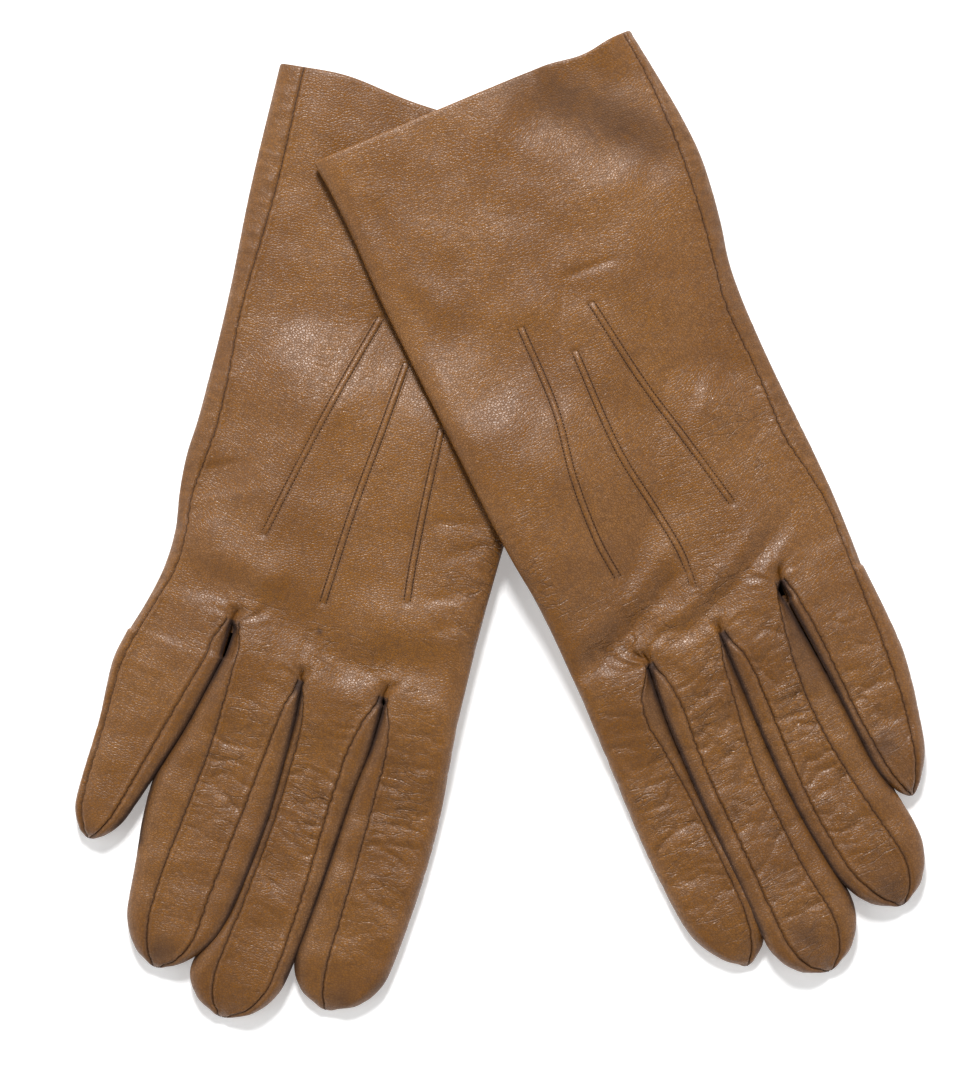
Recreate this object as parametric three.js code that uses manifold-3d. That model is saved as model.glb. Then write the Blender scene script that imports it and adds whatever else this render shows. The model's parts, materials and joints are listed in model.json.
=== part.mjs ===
import * as THREE from "three";
import { mergeVertices } from "three/addons/utils/BufferGeometryUtils.js";
import Module from "manifold-3d";

// A pair of leather dress gloves lying palm down, the left-hand glove partly on top of the right-hand one.
// Millimetres, +Z up. Each glove is laid out in its own plane: "across" grows towards the index finger and
// "along" grows towards the fingertips, from zero near the finger roots. A line of a glove is a list of
// [along, across] points with a smooth curve through them.

const LEATHER = 0.7; // leather thickness
const GAP = 0.3; // clearance between pieces that are sewn edge to edge
const HAND_DEPTH = 7.4; // outside thickness of the hand as it lies
const FINGER_DEPTH = 6.8;
const THUMB_DEPTH = 3.4; // the thumb is pressed flatter, under the palm
const CLOSED_DEPTH = 2 * LEATHER + GAP + 0.3; // where a fingertip comes together
const HAND_ROWS = 16;
const FINGER_ROWS = 6;
const TIP_STEPS = [0.4, 0.7, 0.88, 0.97]; // shares of the rounded tip's length

const THUMB_ROOM = 4.2; // the palm stands this high over the folded thumb
const THUMB_ROOM_EDGE = { littleSide: -46, cuffSide: -104, ramp: 32 };
const ROOM_FALL = 34; // the fingers come down to the table over this length
const STACK_GAP = 0.7; // between the back of the lower glove and the palm of the upper one
const DRAPE_START = 3; // the upper glove leaves the lower one this far past its edge
const DRAPE = 28; // and reaches the table over this length
const CUFF_SLANT_LENGTH = 30; // a slanted cuff straightens out over this length

const THUMB = {
  along: -55, // the thumb hole's centre
  across: 20,
  lean: 15, // degrees towards the little finger
  length: 55,
  behind: 13, // from the hole's centre to the root's closed end
  rootHalfWidth: 12.5,
  tipHalfWidth: 10,
  endLength: 13,
  seamInset: 1.4,
  holeRadius: 10.6,
  collarRadius: 10.1,
  rows: 4,
};

const THREAD_HALF_WIDTH = 0.35;
const THREAD_HEIGHTS = [0.3, 0.65]; // above the leather: underside and top
const POINT_HALF_WIDTH = 0.9; // the raised stitched lines on the back of the hand
const POINT_HEIGHTS = [0.55, 1.1];
const POINT_ROWS = 14;

const TAN = 0x89603d;
const THREAD_BROWN = 0x5b3a22;

const RIGHT = {
  name: "right",
  side: -1,
  x: -59.7,
  y: -42.2,
  heading: -16.5, // degrees the fingers turn towards +X
  cuff: -168,
  cuffSlant: { indexSide: 1, littleSide: 1 },
  roots: 3,
  indexEdge: [[-168, 50], [-120, 48.6], [-50, 48.6], [-23, 49.1], [3, 50.4]],
  littleEdge: [[-168, -53.6], [-131, -51.7], [-97, -48.7], [-64, -47.2], [-46, -47.2], [-26, -44.1],
    [-12, -45.2], [3, -49]],
  sideSeam: [[-168, -46.6], [-131, -44.4], [-95, -44.2], [-73, -42], [-57, -41.4], [-41, -42.7],
    [-22, -40.8], [-8, -43.8], [3, -46.7]],
  points: {
    index_side: [[-79, 21.7], [-60, 22.9], [-38, 24.9], [-27, 26.4]],
    middle: [[-94.5, 6.5], [-73, 5.3], [-50, 3.8], [-20, 3]],
    little_side: [[-104.8, -4.4], [-82, -9.8], [-55, -15.3], [-34, -19.1]],
  },
  fingers: {
    index: {
      tip: 92.2,
      tipLength: 15,
      indexEdge: [[3, 50.4], [35, 53.6], [65, 53.1], [92, 50.5]],
      littleEdge: [[3, 28], [10, 28.9], [27, 27.4], [55, 26.3], [75, 25], [92, 24]],
      littleSeam: [[3, 30], [12, 32.3], [25, 33.1], [50, 33.6], [92, 33.6]],
    },
    middle: {
      tip: 102.7,
      tipLength: 15,
      indexEdge: [[3, 27], [10, 28], [27, 26.6], [55, 25.4], [75, 24.2], [102, 21]],
      littleEdge: [[3, 3.5], [17, 5], [45, 5.6], [63, 4], [72, 3.1], [82, 0.6], [90, -3.4], [102, -4]],
      indexSeam: [[3, 25.6], [14, 22.8], [30, 21.7], [70, 21.3], [102, 19]],
      littleSeam: [[3, 4.6], [15, 6.8], [45, 6.9], [72, 4.9], [90, 3.2], [102, 2.5]],
    },
    ring: {
      tip: 94.2,
      tipLength: 15,
      indexEdge: [[3, 2.8], [17, 4.2], [45, 4.8], [63, 3.3], [72, 2.4], [82, -0.1], [94, -4]],
      littleEdge: [[3, -20.3], [17, -22.8], [28, -25.4], [39, -28.6], [49, -29.3], [60, -27.9],
        [79, -25.8], [94, -24]],
      indexSeam: [[3, 2], [12, 0.8], [27, -0.6], [47, -2.2], [70, -4.3], [94, -5.4]],
      littleSeam: [[3, -16.7], [27, -16.6], [50, -18.3], [70, -19.9], [94, -19.4]],
    },
    little: {
      tip: 64,
      tipLength: 9,
      indexEdge: [[3, -21.2], [17, -23.8], [28, -26.5], [39, -29.8], [57, -35.6], [64, -38]],
      littleEdge: [[3, -49], [13, -50.6], [30, -49.4], [53, -49.4], [64, -48]],
      indexSeam: [[3, -24.8], [17, -28.4], [30, -31.6], [52, -36.9], [64, -40.2]],
      littleSeam: [[3, -46.7], [13, -48.6], [30, -48.3], [53, -48], [64, -46.2]],
    },
  },
};

const LEFT = {
  name: "left",
  side: 1,
  x: 62.9,
  y: -26.8,
  heading: 25.3,
  cuff: -166,
  cuffSlant: { indexSide: -2, littleSide: 2.3 },
  roots: 5.4,
  indexEdge: [[-168, 49.9], [-150, 48.5], [-124, 49], [-85, 48.2], [-45, 47.2], [-23, 45.5], [5.4, 45.6]],
  littleEdge: [[-168, -49.6], [-147, -51.6], [-123, -52.8], [-103, -50], [-88, -46.8], [-63, -45.7],
    [-20, -46], [5.4, -44.6]],
  sideSeam: [[-168, -47.6], [-150, -48.6], [-126, -48], [-98, -44.4], [-80, -41.2], [-55, -41.2],
    [-38, -40.3], [-18, -43.2], [5.4, -42]],
  points: {
    index_side: [[-99.5, 15.8], [-73.7, 16.8], [-53, 20.6], [-34, 22], [-21.8, 21.1]],
    middle: [[-86.6, 4.6], [-55, 5.4], [-35, 3], [-20, 1.6], [-9.9, 2.7]],
    little_side: [[-97.4, -5.6], [-71, -9.2], [-49.7, -13.6], [-26.7, -18.1]],
  },
  fingers: {
    index: {
      tip: 95.6,
      tipLength: 18,
      indexEdge: [[5.4, 45.6], [34, 47], [55, 47.8], [80, 46.8], [95.5, 43]],
      littleEdge: [[5.4, 23.8], [30, 26.7], [60, 27.4], [95.5, 27.6]],
      littleSeam: [[5.4, 26.4], [12, 29.8], [20, 31.2], [34, 29.8], [50, 28.9], [95, 28.9]],
    },
    middle: {
      tip: 107.2,
      tipLength: 16,
      indexEdge: [[5.4, 23.1], [20, 25], [49, 26.2], [93, 26.8], [107, 26.5]],
      littleEdge: [[5.4, 1.1], [45, 3], [70, 2], [88, 0.2], [107, 1.5]],
      indexSeam: [[5.4, 21.6], [14, 20.2], [38, 22], [60, 22.1], [107, 22.5]],
      littleSeam: [[5.4, 2.2], [12, 3.6], [23, 5.2], [41, 8], [50, 8.6], [80, 8], [92, 6.5], [107, 6]],
    },
    ring: {
      tip: 98.8,
      tipLength: 17,
      indexEdge: [[5.4, 0.4], [45, 2.3], [70, 1.4], [88, -0.7], [98, -1.5]],
      littleEdge: [[5.4, -20.9], [30, -22.2], [60, -23], [76, -25.6], [98, -25]],
      indexSeam: [[5.4, -0.9], [14, -2.7], [60, -1.3], [76, -2.4], [98, -6]],
      littleSeam: [[5.4, -17.8], [14, -15.8], [38, -13.7], [60, -15.5], [90, -20.2], [98, -20.2]],
    },
    little: {
      tip: 71.4,
      tipLength: 12,
      indexEdge: [[5.4, -21.7], [30, -23], [60, -23.8], [71, -25]],
      littleEdge: [[5.4, -44.6], [23, -45], [34, -44.5], [47, -42], [60, -38.5], [71, -34]],
      indexSeam: [[5.4, -23.4], [20, -24.3], [45, -24.7], [71, -26.6]],
      littleSeam: [[5.4, -42], [27, -40.6], [47, -38.4], [63, -34.7], [71, -32]],
    },
  },
};

const wasm = await Module();
wasm.setup();

const radians = THREE.MathUtils.degToRad;
const mix = THREE.MathUtils.lerp;
const clamp = THREE.MathUtils.clamp;
const smooth = (share) => THREE.MathUtils.smoothstep(share, 0, 1);

// The across value of a line at one place along the glove, by a cubic through its points.
function onLine(line, along) {
  const last = line.length - 1;
  let i = 0;
  while (i < last - 1 && along > line[i + 1][0]) i++;
  const slope = (j, k) => (line[k][1] - line[j][1]) / (line[k][0] - line[j][0]);
  const [here, next] = [line[i], line[i + 1]];
  const span = next[0] - here[0];
  const share = clamp((along - here[0]) / span, 0, 1);
  const start = slope(Math.max(i - 1, 0), i + 1) * span;
  const end = slope(i, Math.min(i + 2, last)) * span;
  const rise = next[1] - here[1];
  const bend = share * (1 - share);
  return here[1] + rise * smooth(share) + bend * ((1 - share) * start - share * end);
}

// The table position of a point of a glove.
function place(glove, across, along) {
  const turn = radians(glove.heading);
  return {
    x: glove.x - across * glove.side * Math.cos(turn) + along * Math.sin(turn),
    y: glove.y - across * glove.side * Math.sin(turn) - along * Math.cos(turn),
  };
}

// The glove's own coordinates of a table position.
function within(glove, x, y) {
  const turn = radians(glove.heading);
  const [dx, dy] = [x - glove.x, y - glove.y];
  return {
    across: -glove.side * (dx * Math.cos(turn) + dy * Math.sin(turn)),
    along: dx * Math.sin(turn) - dy * Math.cos(turn),
  };
}

// How high the palm stands over the folded thumb.
function thumbRoom(glove, across, along) {
  const { littleSide, cuffSide, ramp } = THUMB_ROOM_EDGE;
  const rise = smooth((across - littleSide) / ramp) * smooth((along - cuffSide) / ramp);
  return THUMB_ROOM * rise * (1 - smooth((along - glove.roots) / ROOM_FALL));
}

// How high the underside of a glove lies: over its own thumb, and for the left-hand glove over the other one.
function restHeight(glove, across, along) {
  const own = thumbRoom(glove, across, along);
  if (glove === RIGHT) return own;
  const { x, y } = place(glove, across, along);
  const below = within(RIGHT, x, y);
  const edge = onLine(RIGHT.indexEdge, clamp(below.along, RIGHT.cuff, RIGHT.roots));
  const past = Math.hypot(Math.max(below.across - edge, 0), Math.max(RIGHT.cuff - below.along, 0));
  const share = 1 - smooth((past - DRAPE_START) / DRAPE);
  const top = thumbRoom(RIGHT, Math.min(below.across, edge), below.along) + HAND_DEPTH + STACK_GAP;
  return Math.max(own, top * share);
}

// A cross-section is a flattened tube from low to high across. A path round it starts at the index-side
// fold, goes over the top to the little-side fold (half the way round) and comes back underneath.
const quarterPath = ({ depth }) => (Math.PI / 4) * depth;
const halfPath = ({ low, high, depth }) => high - low - depth + (Math.PI / 2) * depth;

// The path to the top of a cross-section at one place across.
function pathTo(section, across) {
  const radius = section.depth / 2;
  const fromHigh = section.high - across;
  const fromLow = across - section.low;
  if (fromHigh < radius) return radius * Math.acos(1 - Math.max(fromHigh, 0) / radius);
  if (fromLow < radius) return halfPath(section) - radius * Math.acos(1 - Math.max(fromLow, 0) / radius);
  return quarterPath(section) + fromHigh - radius;
}

// The point of a cross-section at a path, moved inwards by inset.
function onTube(section, path, inset) {
  const radius = section.depth / 2;
  const half = halfPath(section);
  const turn = THREE.MathUtils.euclideanModulo(path, 2 * half);
  const over = turn < half;
  const way = over ? turn : 2 * half - turn;
  const reach = radius - inset;
  let across = section.high - radius - (way - quarterPath(section));
  let lift = reach;
  if (way < quarterPath(section)) {
    across = section.high - radius + reach * Math.cos(way / radius);
    lift = reach * Math.sin(way / radius);
  } else if (way > half - quarterPath(section)) {
    across = section.low + radius - reach * Math.cos((half - way) / radius);
    lift = reach * Math.sin((half - way) / radius);
  }
  return { across, up: radius + (over ? lift : -lift) };
}

// A list of values from the first stop to the last, with the given count of steps between stops.
function between(stops, counts) {
  const values = [stops[0]];
  counts.forEach((count, i) => {
    for (let k = 1; k <= count; k++) values.push(mix(stops[i], stops[i + 1], k / count));
  });
  return values;
}

// A closed plate from a grid of outer and inner points, each a THREE.Vector3.
function plate(outer, inner) {
  const rows = outer.length;
  const columns = outer[0].length;
  const positions = [...outer.flat(), ...inner.flat()].flatMap((p) => [p.x, p.y, p.z]);
  const faces = [];
  const at = (layer, i, j) => layer * rows * columns + i * columns + j;
  const quad = (a, b, c, d) => faces.push(a, b, c, a, c, d);
  for (let i = 0; i + 1 < rows; i++) {
    for (let j = 0; j + 1 < columns; j++) {
      quad(at(0, i, j), at(0, i + 1, j), at(0, i + 1, j + 1), at(0, i, j + 1));
      quad(at(1, i, j), at(1, i, j + 1), at(1, i + 1, j + 1), at(1, i + 1, j));
    }
    quad(at(0, i, 0), at(1, i, 0), at(1, i + 1, 0), at(0, i + 1, 0));
    quad(at(0, i, columns - 1), at(0, i + 1, columns - 1), at(1, i + 1, columns - 1), at(1, i, columns - 1));
  }
  for (let j = 0; j + 1 < columns; j++) {
    quad(at(0, 0, j), at(0, 0, j + 1), at(1, 0, j + 1), at(1, 0, j));
    quad(at(0, rows - 1, j), at(1, rows - 1, j), at(1, rows - 1, j + 1), at(0, rows - 1, j + 1));
  }
  const geometry = new THREE.BufferGeometry();
  geometry.setAttribute("position", new THREE.Float32BufferAttribute(positions, 3));
  geometry.setIndex(faces);
  return geometry;
}

// Turns a closed mesh to face outwards.
function facingOut(geometry) {
  const position = geometry.attributes.position;
  const index = geometry.index.array;
  const corner = [0, 1, 2].map(() => new THREE.Vector3());
  let volume = 0;
  for (let i = 0; i < index.length; i += 3) {
    corner.forEach((v, k) => v.fromBufferAttribute(position, index[i + k]));
    volume += corner[0].dot(corner[1].clone().cross(corner[2]));
  }
  if (volume < 0)
    for (let i = 0; i < index.length; i += 3) [index[i + 1], index[i + 2]] = [index[i + 2], index[i + 1]];
  geometry.computeVertexNormals();
  return geometry;
}

// A sheet wrapped on a row of cross-sections. pathsOf gives the paths of its columns, and the heights are
// measured inwards from the tube's outside: outer surface first.
function wrapped(rows, pathsOf, layers, toTable) {
  const [outer, inner] = layers.map((inset) =>
    rows.map((row) => pathsOf(row).map((path) => toTable(row, onTube(row, path, inset)))),
  );
  return facingOut(plate(outer, inner));
}

const group = new THREE.Group();

function add(name, geometry, colour, roughness) {
  const material = new THREE.MeshStandardMaterial({ color: colour, roughness, metalness: 0 });
  const mesh = new THREE.Mesh(geometry, material);
  mesh.name = name;
  group.add(mesh);
}

const addLeather = (name, geometry) => add(name, geometry, TAN, 0.5);
const addThread = (name, geometry) => add(name, geometry, THREAD_BROWN, 0.8);

// Manifold solids, for the thumb hole and the thumb's collar.
function solid(geometry) {
  const bare = geometry.clone();
  bare.deleteAttribute("normal");
  bare.deleteAttribute("uv");
  const merged = mergeVertices(bare);
  return new wasm.Manifold(
    new wasm.Mesh({
      numProp: 3,
      vertProperties: new Float32Array(merged.attributes.position.array),
      triVerts: new Uint32Array(merged.index.array),
    }),
  );
}

function geometryOf(manifold) {
  const mesh = manifold.getMesh();
  const geometry = new THREE.BufferGeometry();
  geometry.setAttribute("position", new THREE.BufferAttribute(mesh.vertProperties, 3));
  geometry.setIndex(new THREE.BufferAttribute(mesh.triVerts, 1));
  geometry.computeVertexNormals();
  return geometry;
}

function upright(radius, { x, y }, bottom, top) {
  const cylinder = new THREE.CylinderGeometry(radius, radius, top - bottom, 24);
  cylinder.rotateX(Math.PI / 2);
  cylinder.translate(x, y, (top + bottom) / 2);
  return solid(cylinder);
}

// The rows of a hand, from the cuff to the finger roots.
function handRows(glove) {
  return between([glove.cuff, glove.roots - GAP / 2], [HAND_ROWS]).map((along) => ({
    along,
    low: onLine(glove.littleEdge, along),
    high: onLine(glove.indexEdge, along),
    seam: onLine(glove.sideSeam, along),
    depth: HAND_DEPTH,
  }));
}

// Sets a point of a hand on the table, with the cuff's slant.
function onHand(glove) {
  return (row, { across, up }) => {
    const { indexSide, littleSide } = glove.cuffSlant;
    const slant = mix(littleSide, indexSide, (across - row.low) / (row.high - row.low));
    const along = row.along + slant * (1 - smooth((row.along - glove.cuff) / CUFF_SLANT_LENGTH));
    const { x, y } = place(glove, across, along);
    return new THREE.Vector3(x, y, up + restHeight(glove, across, along));
  };
}

// The paths of the back's columns: two steps on each side of the index-side fold, then flat to the side seam.
const FOLD_COLUMNS = 4;
function backPaths(row) {
  const fold = quarterPath(row);
  return between([GAP / 2 - fold, 0, fold, pathTo(row, row.seam) - GAP / 2], [2, 2, 8]);
}

function addHand(glove) {
  const rows = handRows(glove);
  const toTable = onHand(glove);
  const walls = [0, LEATHER];
  const palmPaths = (row) => {
    const half = halfPath(row);
    const fold = quarterPath(row);
    const start = pathTo(row, row.seam) + GAP / 2;
    return between([start, half, half + fold, 2 * half - fold - GAP / 2], [2, 2, 8]);
  };
  const hole = place(glove, THUMB.across, THUMB.along);
  const palm = solid(wrapped(rows, palmPaths, walls, toTable));
  const palmHeight = restHeight(glove, THUMB.across, THUMB.along);
  const cut = upright(THUMB.holeRadius, hole, 0, palmHeight + HAND_DEPTH / 2);
  addLeather(`${glove.name}_hand_back`, wrapped(rows, backPaths, walls, toTable));
  addLeather(`${glove.name}_hand_palm`, geometryOf(palm.subtract(cut)));
  addThread(`${glove.name}_side_seam_thread`, thread(rows, "seam", toTable));
}

// A sewn line on the outside of a tube: the across value of each row is under the given key.
function thread(rows, key, toTable) {
  const paths = (row) => {
    const path = pathTo(row, row[key]);
    return [path - THREAD_HALF_WIDTH, path + THREAD_HALF_WIDTH];
  };
  const [bottom, top] = THREAD_HEIGHTS;
  return wrapped(rows, paths, [-top, -bottom], toTable);
}

// The height of the back's outside, which is flat between its rows and columns.
function backHeight(rows, columns, across, along) {
  const rowHeight = (i) => {
    const line = columns[i];
    let j = 0;
    while (j < line.length - 2 && across < line[j + 1].across) j++;
    const share = (line[j].across - across) / (line[j].across - line[j + 1].across);
    return mix(line[j].up, line[j + 1].up, share);
  };
  let i = 0;
  while (i < rows.length - 2 && along > rows[i + 1].along) i++;
  const share = (along - rows[i].along) / (rows[i + 1].along - rows[i].along);
  return mix(rowHeight(i), rowHeight(i + 1), share);
}

// The raised double-stitched lines on the back of the hand.
function addPoints(glove) {
  const rows = handRows(glove);
  const columns = rows.map((row) =>
    backPaths(row)
      .slice(FOLD_COLUMNS)
      .map((path) => {
        const { across, up } = onTube(row, path, 0);
        return { across, up: up + restHeight(glove, across, row.along) };
      }),
  );
  for (const [name, line] of Object.entries(glove.points)) {
    const stations = between([line[0][0], line.at(-1)[0]], [POINT_ROWS]);
    const [inner, outer] = POINT_HEIGHTS.map((height) =>
      stations.map((along) =>
        [POINT_HALF_WIDTH, -POINT_HALF_WIDTH].map((offset) => {
          const across = onLine(line, along) + offset;
          const { x, y } = place(glove, across, along);
          return new THREE.Vector3(x, y, backHeight(rows, columns, across, along) + height);
        }),
      ),
    );
    addThread(`${glove.name}_point_${name}`, facingOut(plate(outer, inner)));
  }
}

// The rows of a finger: straight on to the tip's start, then round in plan and closing in depth.
function fingerRows(glove, finger) {
  const start = finger.tip - finger.tipLength;
  const body = between([glove.roots + GAP / 2, start], [FINGER_ROWS]);
  const tip = TIP_STEPS.map((share) => start + share * finger.tipLength);
  return [...body, ...tip].map((along) => {
    const share = clamp((along - start) / finger.tipLength, 0, 1);
    const round = Math.sqrt(1 - share ** 2);
    const high = onLine(finger.indexEdge, along);
    const low = onLine(finger.littleEdge, along);
    const middle = (high + low) / 2;
    const narrowed = (across) => mix(middle, across, round);
    const seam = (line) => (line ? narrowed(onLine(line, along)) : undefined);
    return {
      along,
      middle,
      low: narrowed(low),
      high: narrowed(high),
      indexSeam: seam(finger.indexSeam),
      littleSeam: seam(finger.littleSeam),
      depth: Math.max(CLOSED_DEPTH, FINGER_DEPTH * round),
    };
  });
}

function onFinger(glove) {
  return (row, { across, up }) => {
    const { x, y } = place(glove, across, row.along);
    return new THREE.Vector3(x, y, up + restHeight(glove, row.middle, row.along));
  };
}

// The index finger's back leather folds round its outer side, and the little finger's palm leather comes
// round to the side seam on top. Every other side of a finger is a fourchette, sewn in on both edges.
function addFinger(glove, name) {
  const finger = glove.fingers[name];
  const rows = fingerRows(glove, finger);
  const toTable = onFinger(glove);
  const walls = [0, LEATHER];
  const trim = GAP / 2;
  const prefix = `${glove.name}_${name}`;
  const isIndex = name === "index";
  const isLittle = name === "little";

  const backPaths = (row) => {
    const end = pathTo(row, row.littleSeam) - trim;
    const fold = quarterPath(row);
    if (isIndex) return between([trim - fold, 0, fold, end], [2, 2, 3]);
    return between([pathTo(row, row.indexSeam) + trim, end], [4]);
  };
  const palmPaths = (row) => {
    const half = halfPath(row);
    const fold = quarterPath(row);
    const end = 2 * half - (isIndex ? fold : pathTo(row, row.indexSeam)) - trim;
    const start = pathTo(row, row.littleSeam) + trim;
    if (isLittle) return between([start, half, half + fold, end], [2, 2, 3]);
    return between([2 * half - start + 2 * trim, end], [3]);
  };
  const indexSidePaths = (row) => {
    const seam = pathTo(row, row.indexSeam) - trim;
    return between([-seam, 0, seam], [2, 2]);
  };
  const littleSidePaths = (row) => {
    const half = halfPath(row);
    const seam = pathTo(row, row.littleSeam) + trim;
    return between([seam, half, 2 * half - seam], [2, 2]);
  };

  addLeather(`${prefix}_back`, wrapped(rows, backPaths, walls, toTable));
  addLeather(`${prefix}_palm`, wrapped(rows, palmPaths, walls, toTable));
  addThread(`${prefix}_little_side_thread`, thread(rows, "littleSeam", toTable));
  if (!isIndex) {
    addLeather(`${prefix}_index_side_fourchette`, wrapped(rows, indexSidePaths, walls, toTable));
    addThread(`${prefix}_index_side_thread`, thread(rows, "indexSeam", toTable));
  }
  if (!isLittle)
    addLeather(`${prefix}_little_side_fourchette`, wrapped(rows, littleSidePaths, walls, toTable));
}

// The thumb lies flat under the palm. Its along values run from the hole's centre to the tip.
function addThumb(glove) {
  const lean = radians(THUMB.lean);
  const ends = [THUMB.endLength - THUMB.behind, THUMB.length - THUMB.endLength];
  const tips = TIP_STEPS.map((share) => share * THUMB.endLength);
  const stations = [
    ...tips.map((step) => ends[0] - step).reverse(),
    ...between(ends, [THUMB.rows]),
    ...tips.map((step) => ends[1] + step),
  ];
  const rows = stations.map((along) => {
    const past = Math.max(ends[0] - along, along - ends[1], 0) / THUMB.endLength;
    const round = Math.sqrt(1 - past ** 2);
    const width = mix(THUMB.rootHalfWidth, THUMB.tipHalfWidth, clamp(along / THUMB.length, 0, 1)) * round;
    return { along, low: -width, high: width, depth: Math.max(CLOSED_DEPTH, THUMB_DEPTH * round) };
  });
  const toTable = (row, { across, up }) => {
    const acrossHand = THUMB.across + across * Math.cos(lean) - row.along * Math.sin(lean);
    const alongHand = THUMB.along + across * Math.sin(lean) + row.along * Math.cos(lean);
    const { x, y } = place(glove, acrossHand, alongHand);
    return new THREE.Vector3(x, y, up);
  };
  const seam = (row) => pathTo(row, row.high - Math.min(THUMB.seamInset, row.depth / 2));
  const innerPaths = (row) => between([seam(row) + GAP / 2, halfPath(row) - seam(row) - GAP / 2], [4]);
  const outerPaths = (row) => {
    const half = halfPath(row);
    const fold = quarterPath(row);
    const start = half - seam(row) + GAP / 2;
    const end = 2 * half + seam(row) - GAP / 2;
    return between([start, half, half + fold, 2 * half - fold, 2 * half, end], [1, 1, 3, 1, 1]);
  };
  const centre = place(glove, THUMB.across, THUMB.along);
  const top = restHeight(glove, THUMB.across, THUMB.along) + LEATHER + GAP;
  const inner = solid(wrapped(rows, innerPaths, [0, LEATHER], toTable));
  const collar = upright(THUMB.collarRadius, centre, THUMB_DEPTH - LEATHER / 2, top);
  const mouth = upright(THUMB.collarRadius - LEATHER, centre, LEATHER + GAP, top + GAP);
  addLeather(`${glove.name}_thumb_inner`, geometryOf(inner.add(collar).subtract(mouth)));
  addLeather(`${glove.name}_thumb_outer`, wrapped(rows, outerPaths, [0, LEATHER], toTable));
}

for (const glove of [RIGHT, LEFT]) {
  addHand(glove);
  addPoints(glove);
  for (const name of Object.keys(glove.fingers)) addFinger(glove, name);
  addThumb(glove);
}

// The origin is at the middle of the pair, on the table.
const box = new THREE.Box3().setFromObject(group);
const middle = box.getCenter(new THREE.Vector3());
group.position.set(-middle.x, -middle.y, -box.min.z);

export default group;
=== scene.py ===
import json
import math

import bpy
import numpy as np
from mathutils.bvhtree import BVHTree
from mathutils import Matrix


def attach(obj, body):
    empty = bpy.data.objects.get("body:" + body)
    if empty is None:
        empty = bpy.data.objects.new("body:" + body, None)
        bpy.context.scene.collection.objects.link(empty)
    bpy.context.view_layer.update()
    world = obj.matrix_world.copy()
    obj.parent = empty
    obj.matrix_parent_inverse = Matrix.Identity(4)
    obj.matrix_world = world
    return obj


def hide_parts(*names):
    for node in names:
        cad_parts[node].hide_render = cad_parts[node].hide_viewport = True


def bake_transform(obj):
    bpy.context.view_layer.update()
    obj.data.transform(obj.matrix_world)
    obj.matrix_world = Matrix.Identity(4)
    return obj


# The looks of a pair of leather dress gloves on a pale table. Each glove is one skin, built as a grid of
# points round its hand and fingers, pressed into folds, creases and sewn seams, and then split into the
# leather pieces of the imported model. Sizes are millimetres: MM turns them into metres.
# "across" grows towards the index finger and "along" towards the fingertips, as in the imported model.

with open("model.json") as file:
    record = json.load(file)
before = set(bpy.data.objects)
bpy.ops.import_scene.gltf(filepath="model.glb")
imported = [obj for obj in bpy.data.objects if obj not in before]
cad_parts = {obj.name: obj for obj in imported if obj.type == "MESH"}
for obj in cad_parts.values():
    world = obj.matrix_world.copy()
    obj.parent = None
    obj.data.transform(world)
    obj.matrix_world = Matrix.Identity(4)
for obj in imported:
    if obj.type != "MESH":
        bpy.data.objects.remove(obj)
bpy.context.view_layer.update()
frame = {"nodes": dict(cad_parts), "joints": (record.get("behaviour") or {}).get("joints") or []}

MM = 0.001
FAR = 99.0  # from any seam or edge
FINGERS = ("index", "middle", "ring", "little")
THUMB_HOLE = (20, -55)  # across and along, from the origin of a glove's plane
TABLE_GAP = 0.02

# How a glove lies: over its own folded thumb, and the left-hand glove over the right-hand one.
HAND_DEPTH = 7.4
THUMB_ROOM = 4.2
THUMB_ROOM_LITTLE_SIDE = -46
THUMB_ROOM_CUFF_SIDE = -104
THUMB_ROOM_RAMP = 32
ROOM_FALL = 34
STACK_GAP = 0.7
DRAPE_START = 3
DRAPE = 58
TILT_RAMP = 25

# The grid.
SIDE_COLUMNS = 10  # on a finger, from its edge to the seam
TOP_COLUMNS = 30  # between the two seams
INDEX_SEAM = SIDE_COLUMNS
LITTLE_SEAM = SIDE_COLUMNS + TOP_COLUMNS
FINGER_COLUMNS = LITTLE_SEAM + SIDE_COLUMNS + 1
HAND_SEAM = 3 * FINGER_COLUMNS + LITTLE_SEAM
FINGER_STEP = 0.55
HAND_STEP = 0.7
TIP_ROWS = 18
PROFILE_STEPS = 240
EASING = 0.6
MERGED_DIGITS = 3  # points that agree to this many decimals are one

# The leather.
FINGER_DEPTH = 7.6
FINGER_FOLD = 4.0  # width of the round part at a finger's edge
HAND_FOLD = 6.5
TIP_FULLNESS = 0.85
CROWN = 0.13
CROWN_FROM = 2.2  # a tube wider than this many folds has a crown
HEM = 1.0
CUFF_SLANT = 30  # the cuff's slant and bow die away over this length
FINGER_OVERLAP = 0.75  # neighbouring fingers press on each other
GAP_HIDDEN = 2.1  # the part of a finger's side that its neighbour hides
NEIGHBOUR_END = 0.6  # as far along its neighbour's tip as this, a finger's side is free
FREE_RAMP = 30
SIDE_CREASE = 0.3
PALM_CREASE = 0.5
CREASE_COLUMNS = 4
CROTCH_FADE = 5.5
SEAMS_AT_CROTCH = 0.3  # the share of their distance from the finger's edge
SEAM_SPREAD = 8  # over this length they reach all of it
NO_SEAM_SHARE = 0.16  # where the side starts on the index finger, which has no seam there
TUCK_LENGTH = 25
WELL_COLUMNS = 5
WELL_START = 3


def smooth(share):
    share = np.clip(share, 0, 1)
    return share * share * (3 - 2 * share)


def mix(a, b, share):
    return a + (b - a) * share


def bell(distance, width):
    return np.exp(-((distance / width) ** 2))


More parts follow.
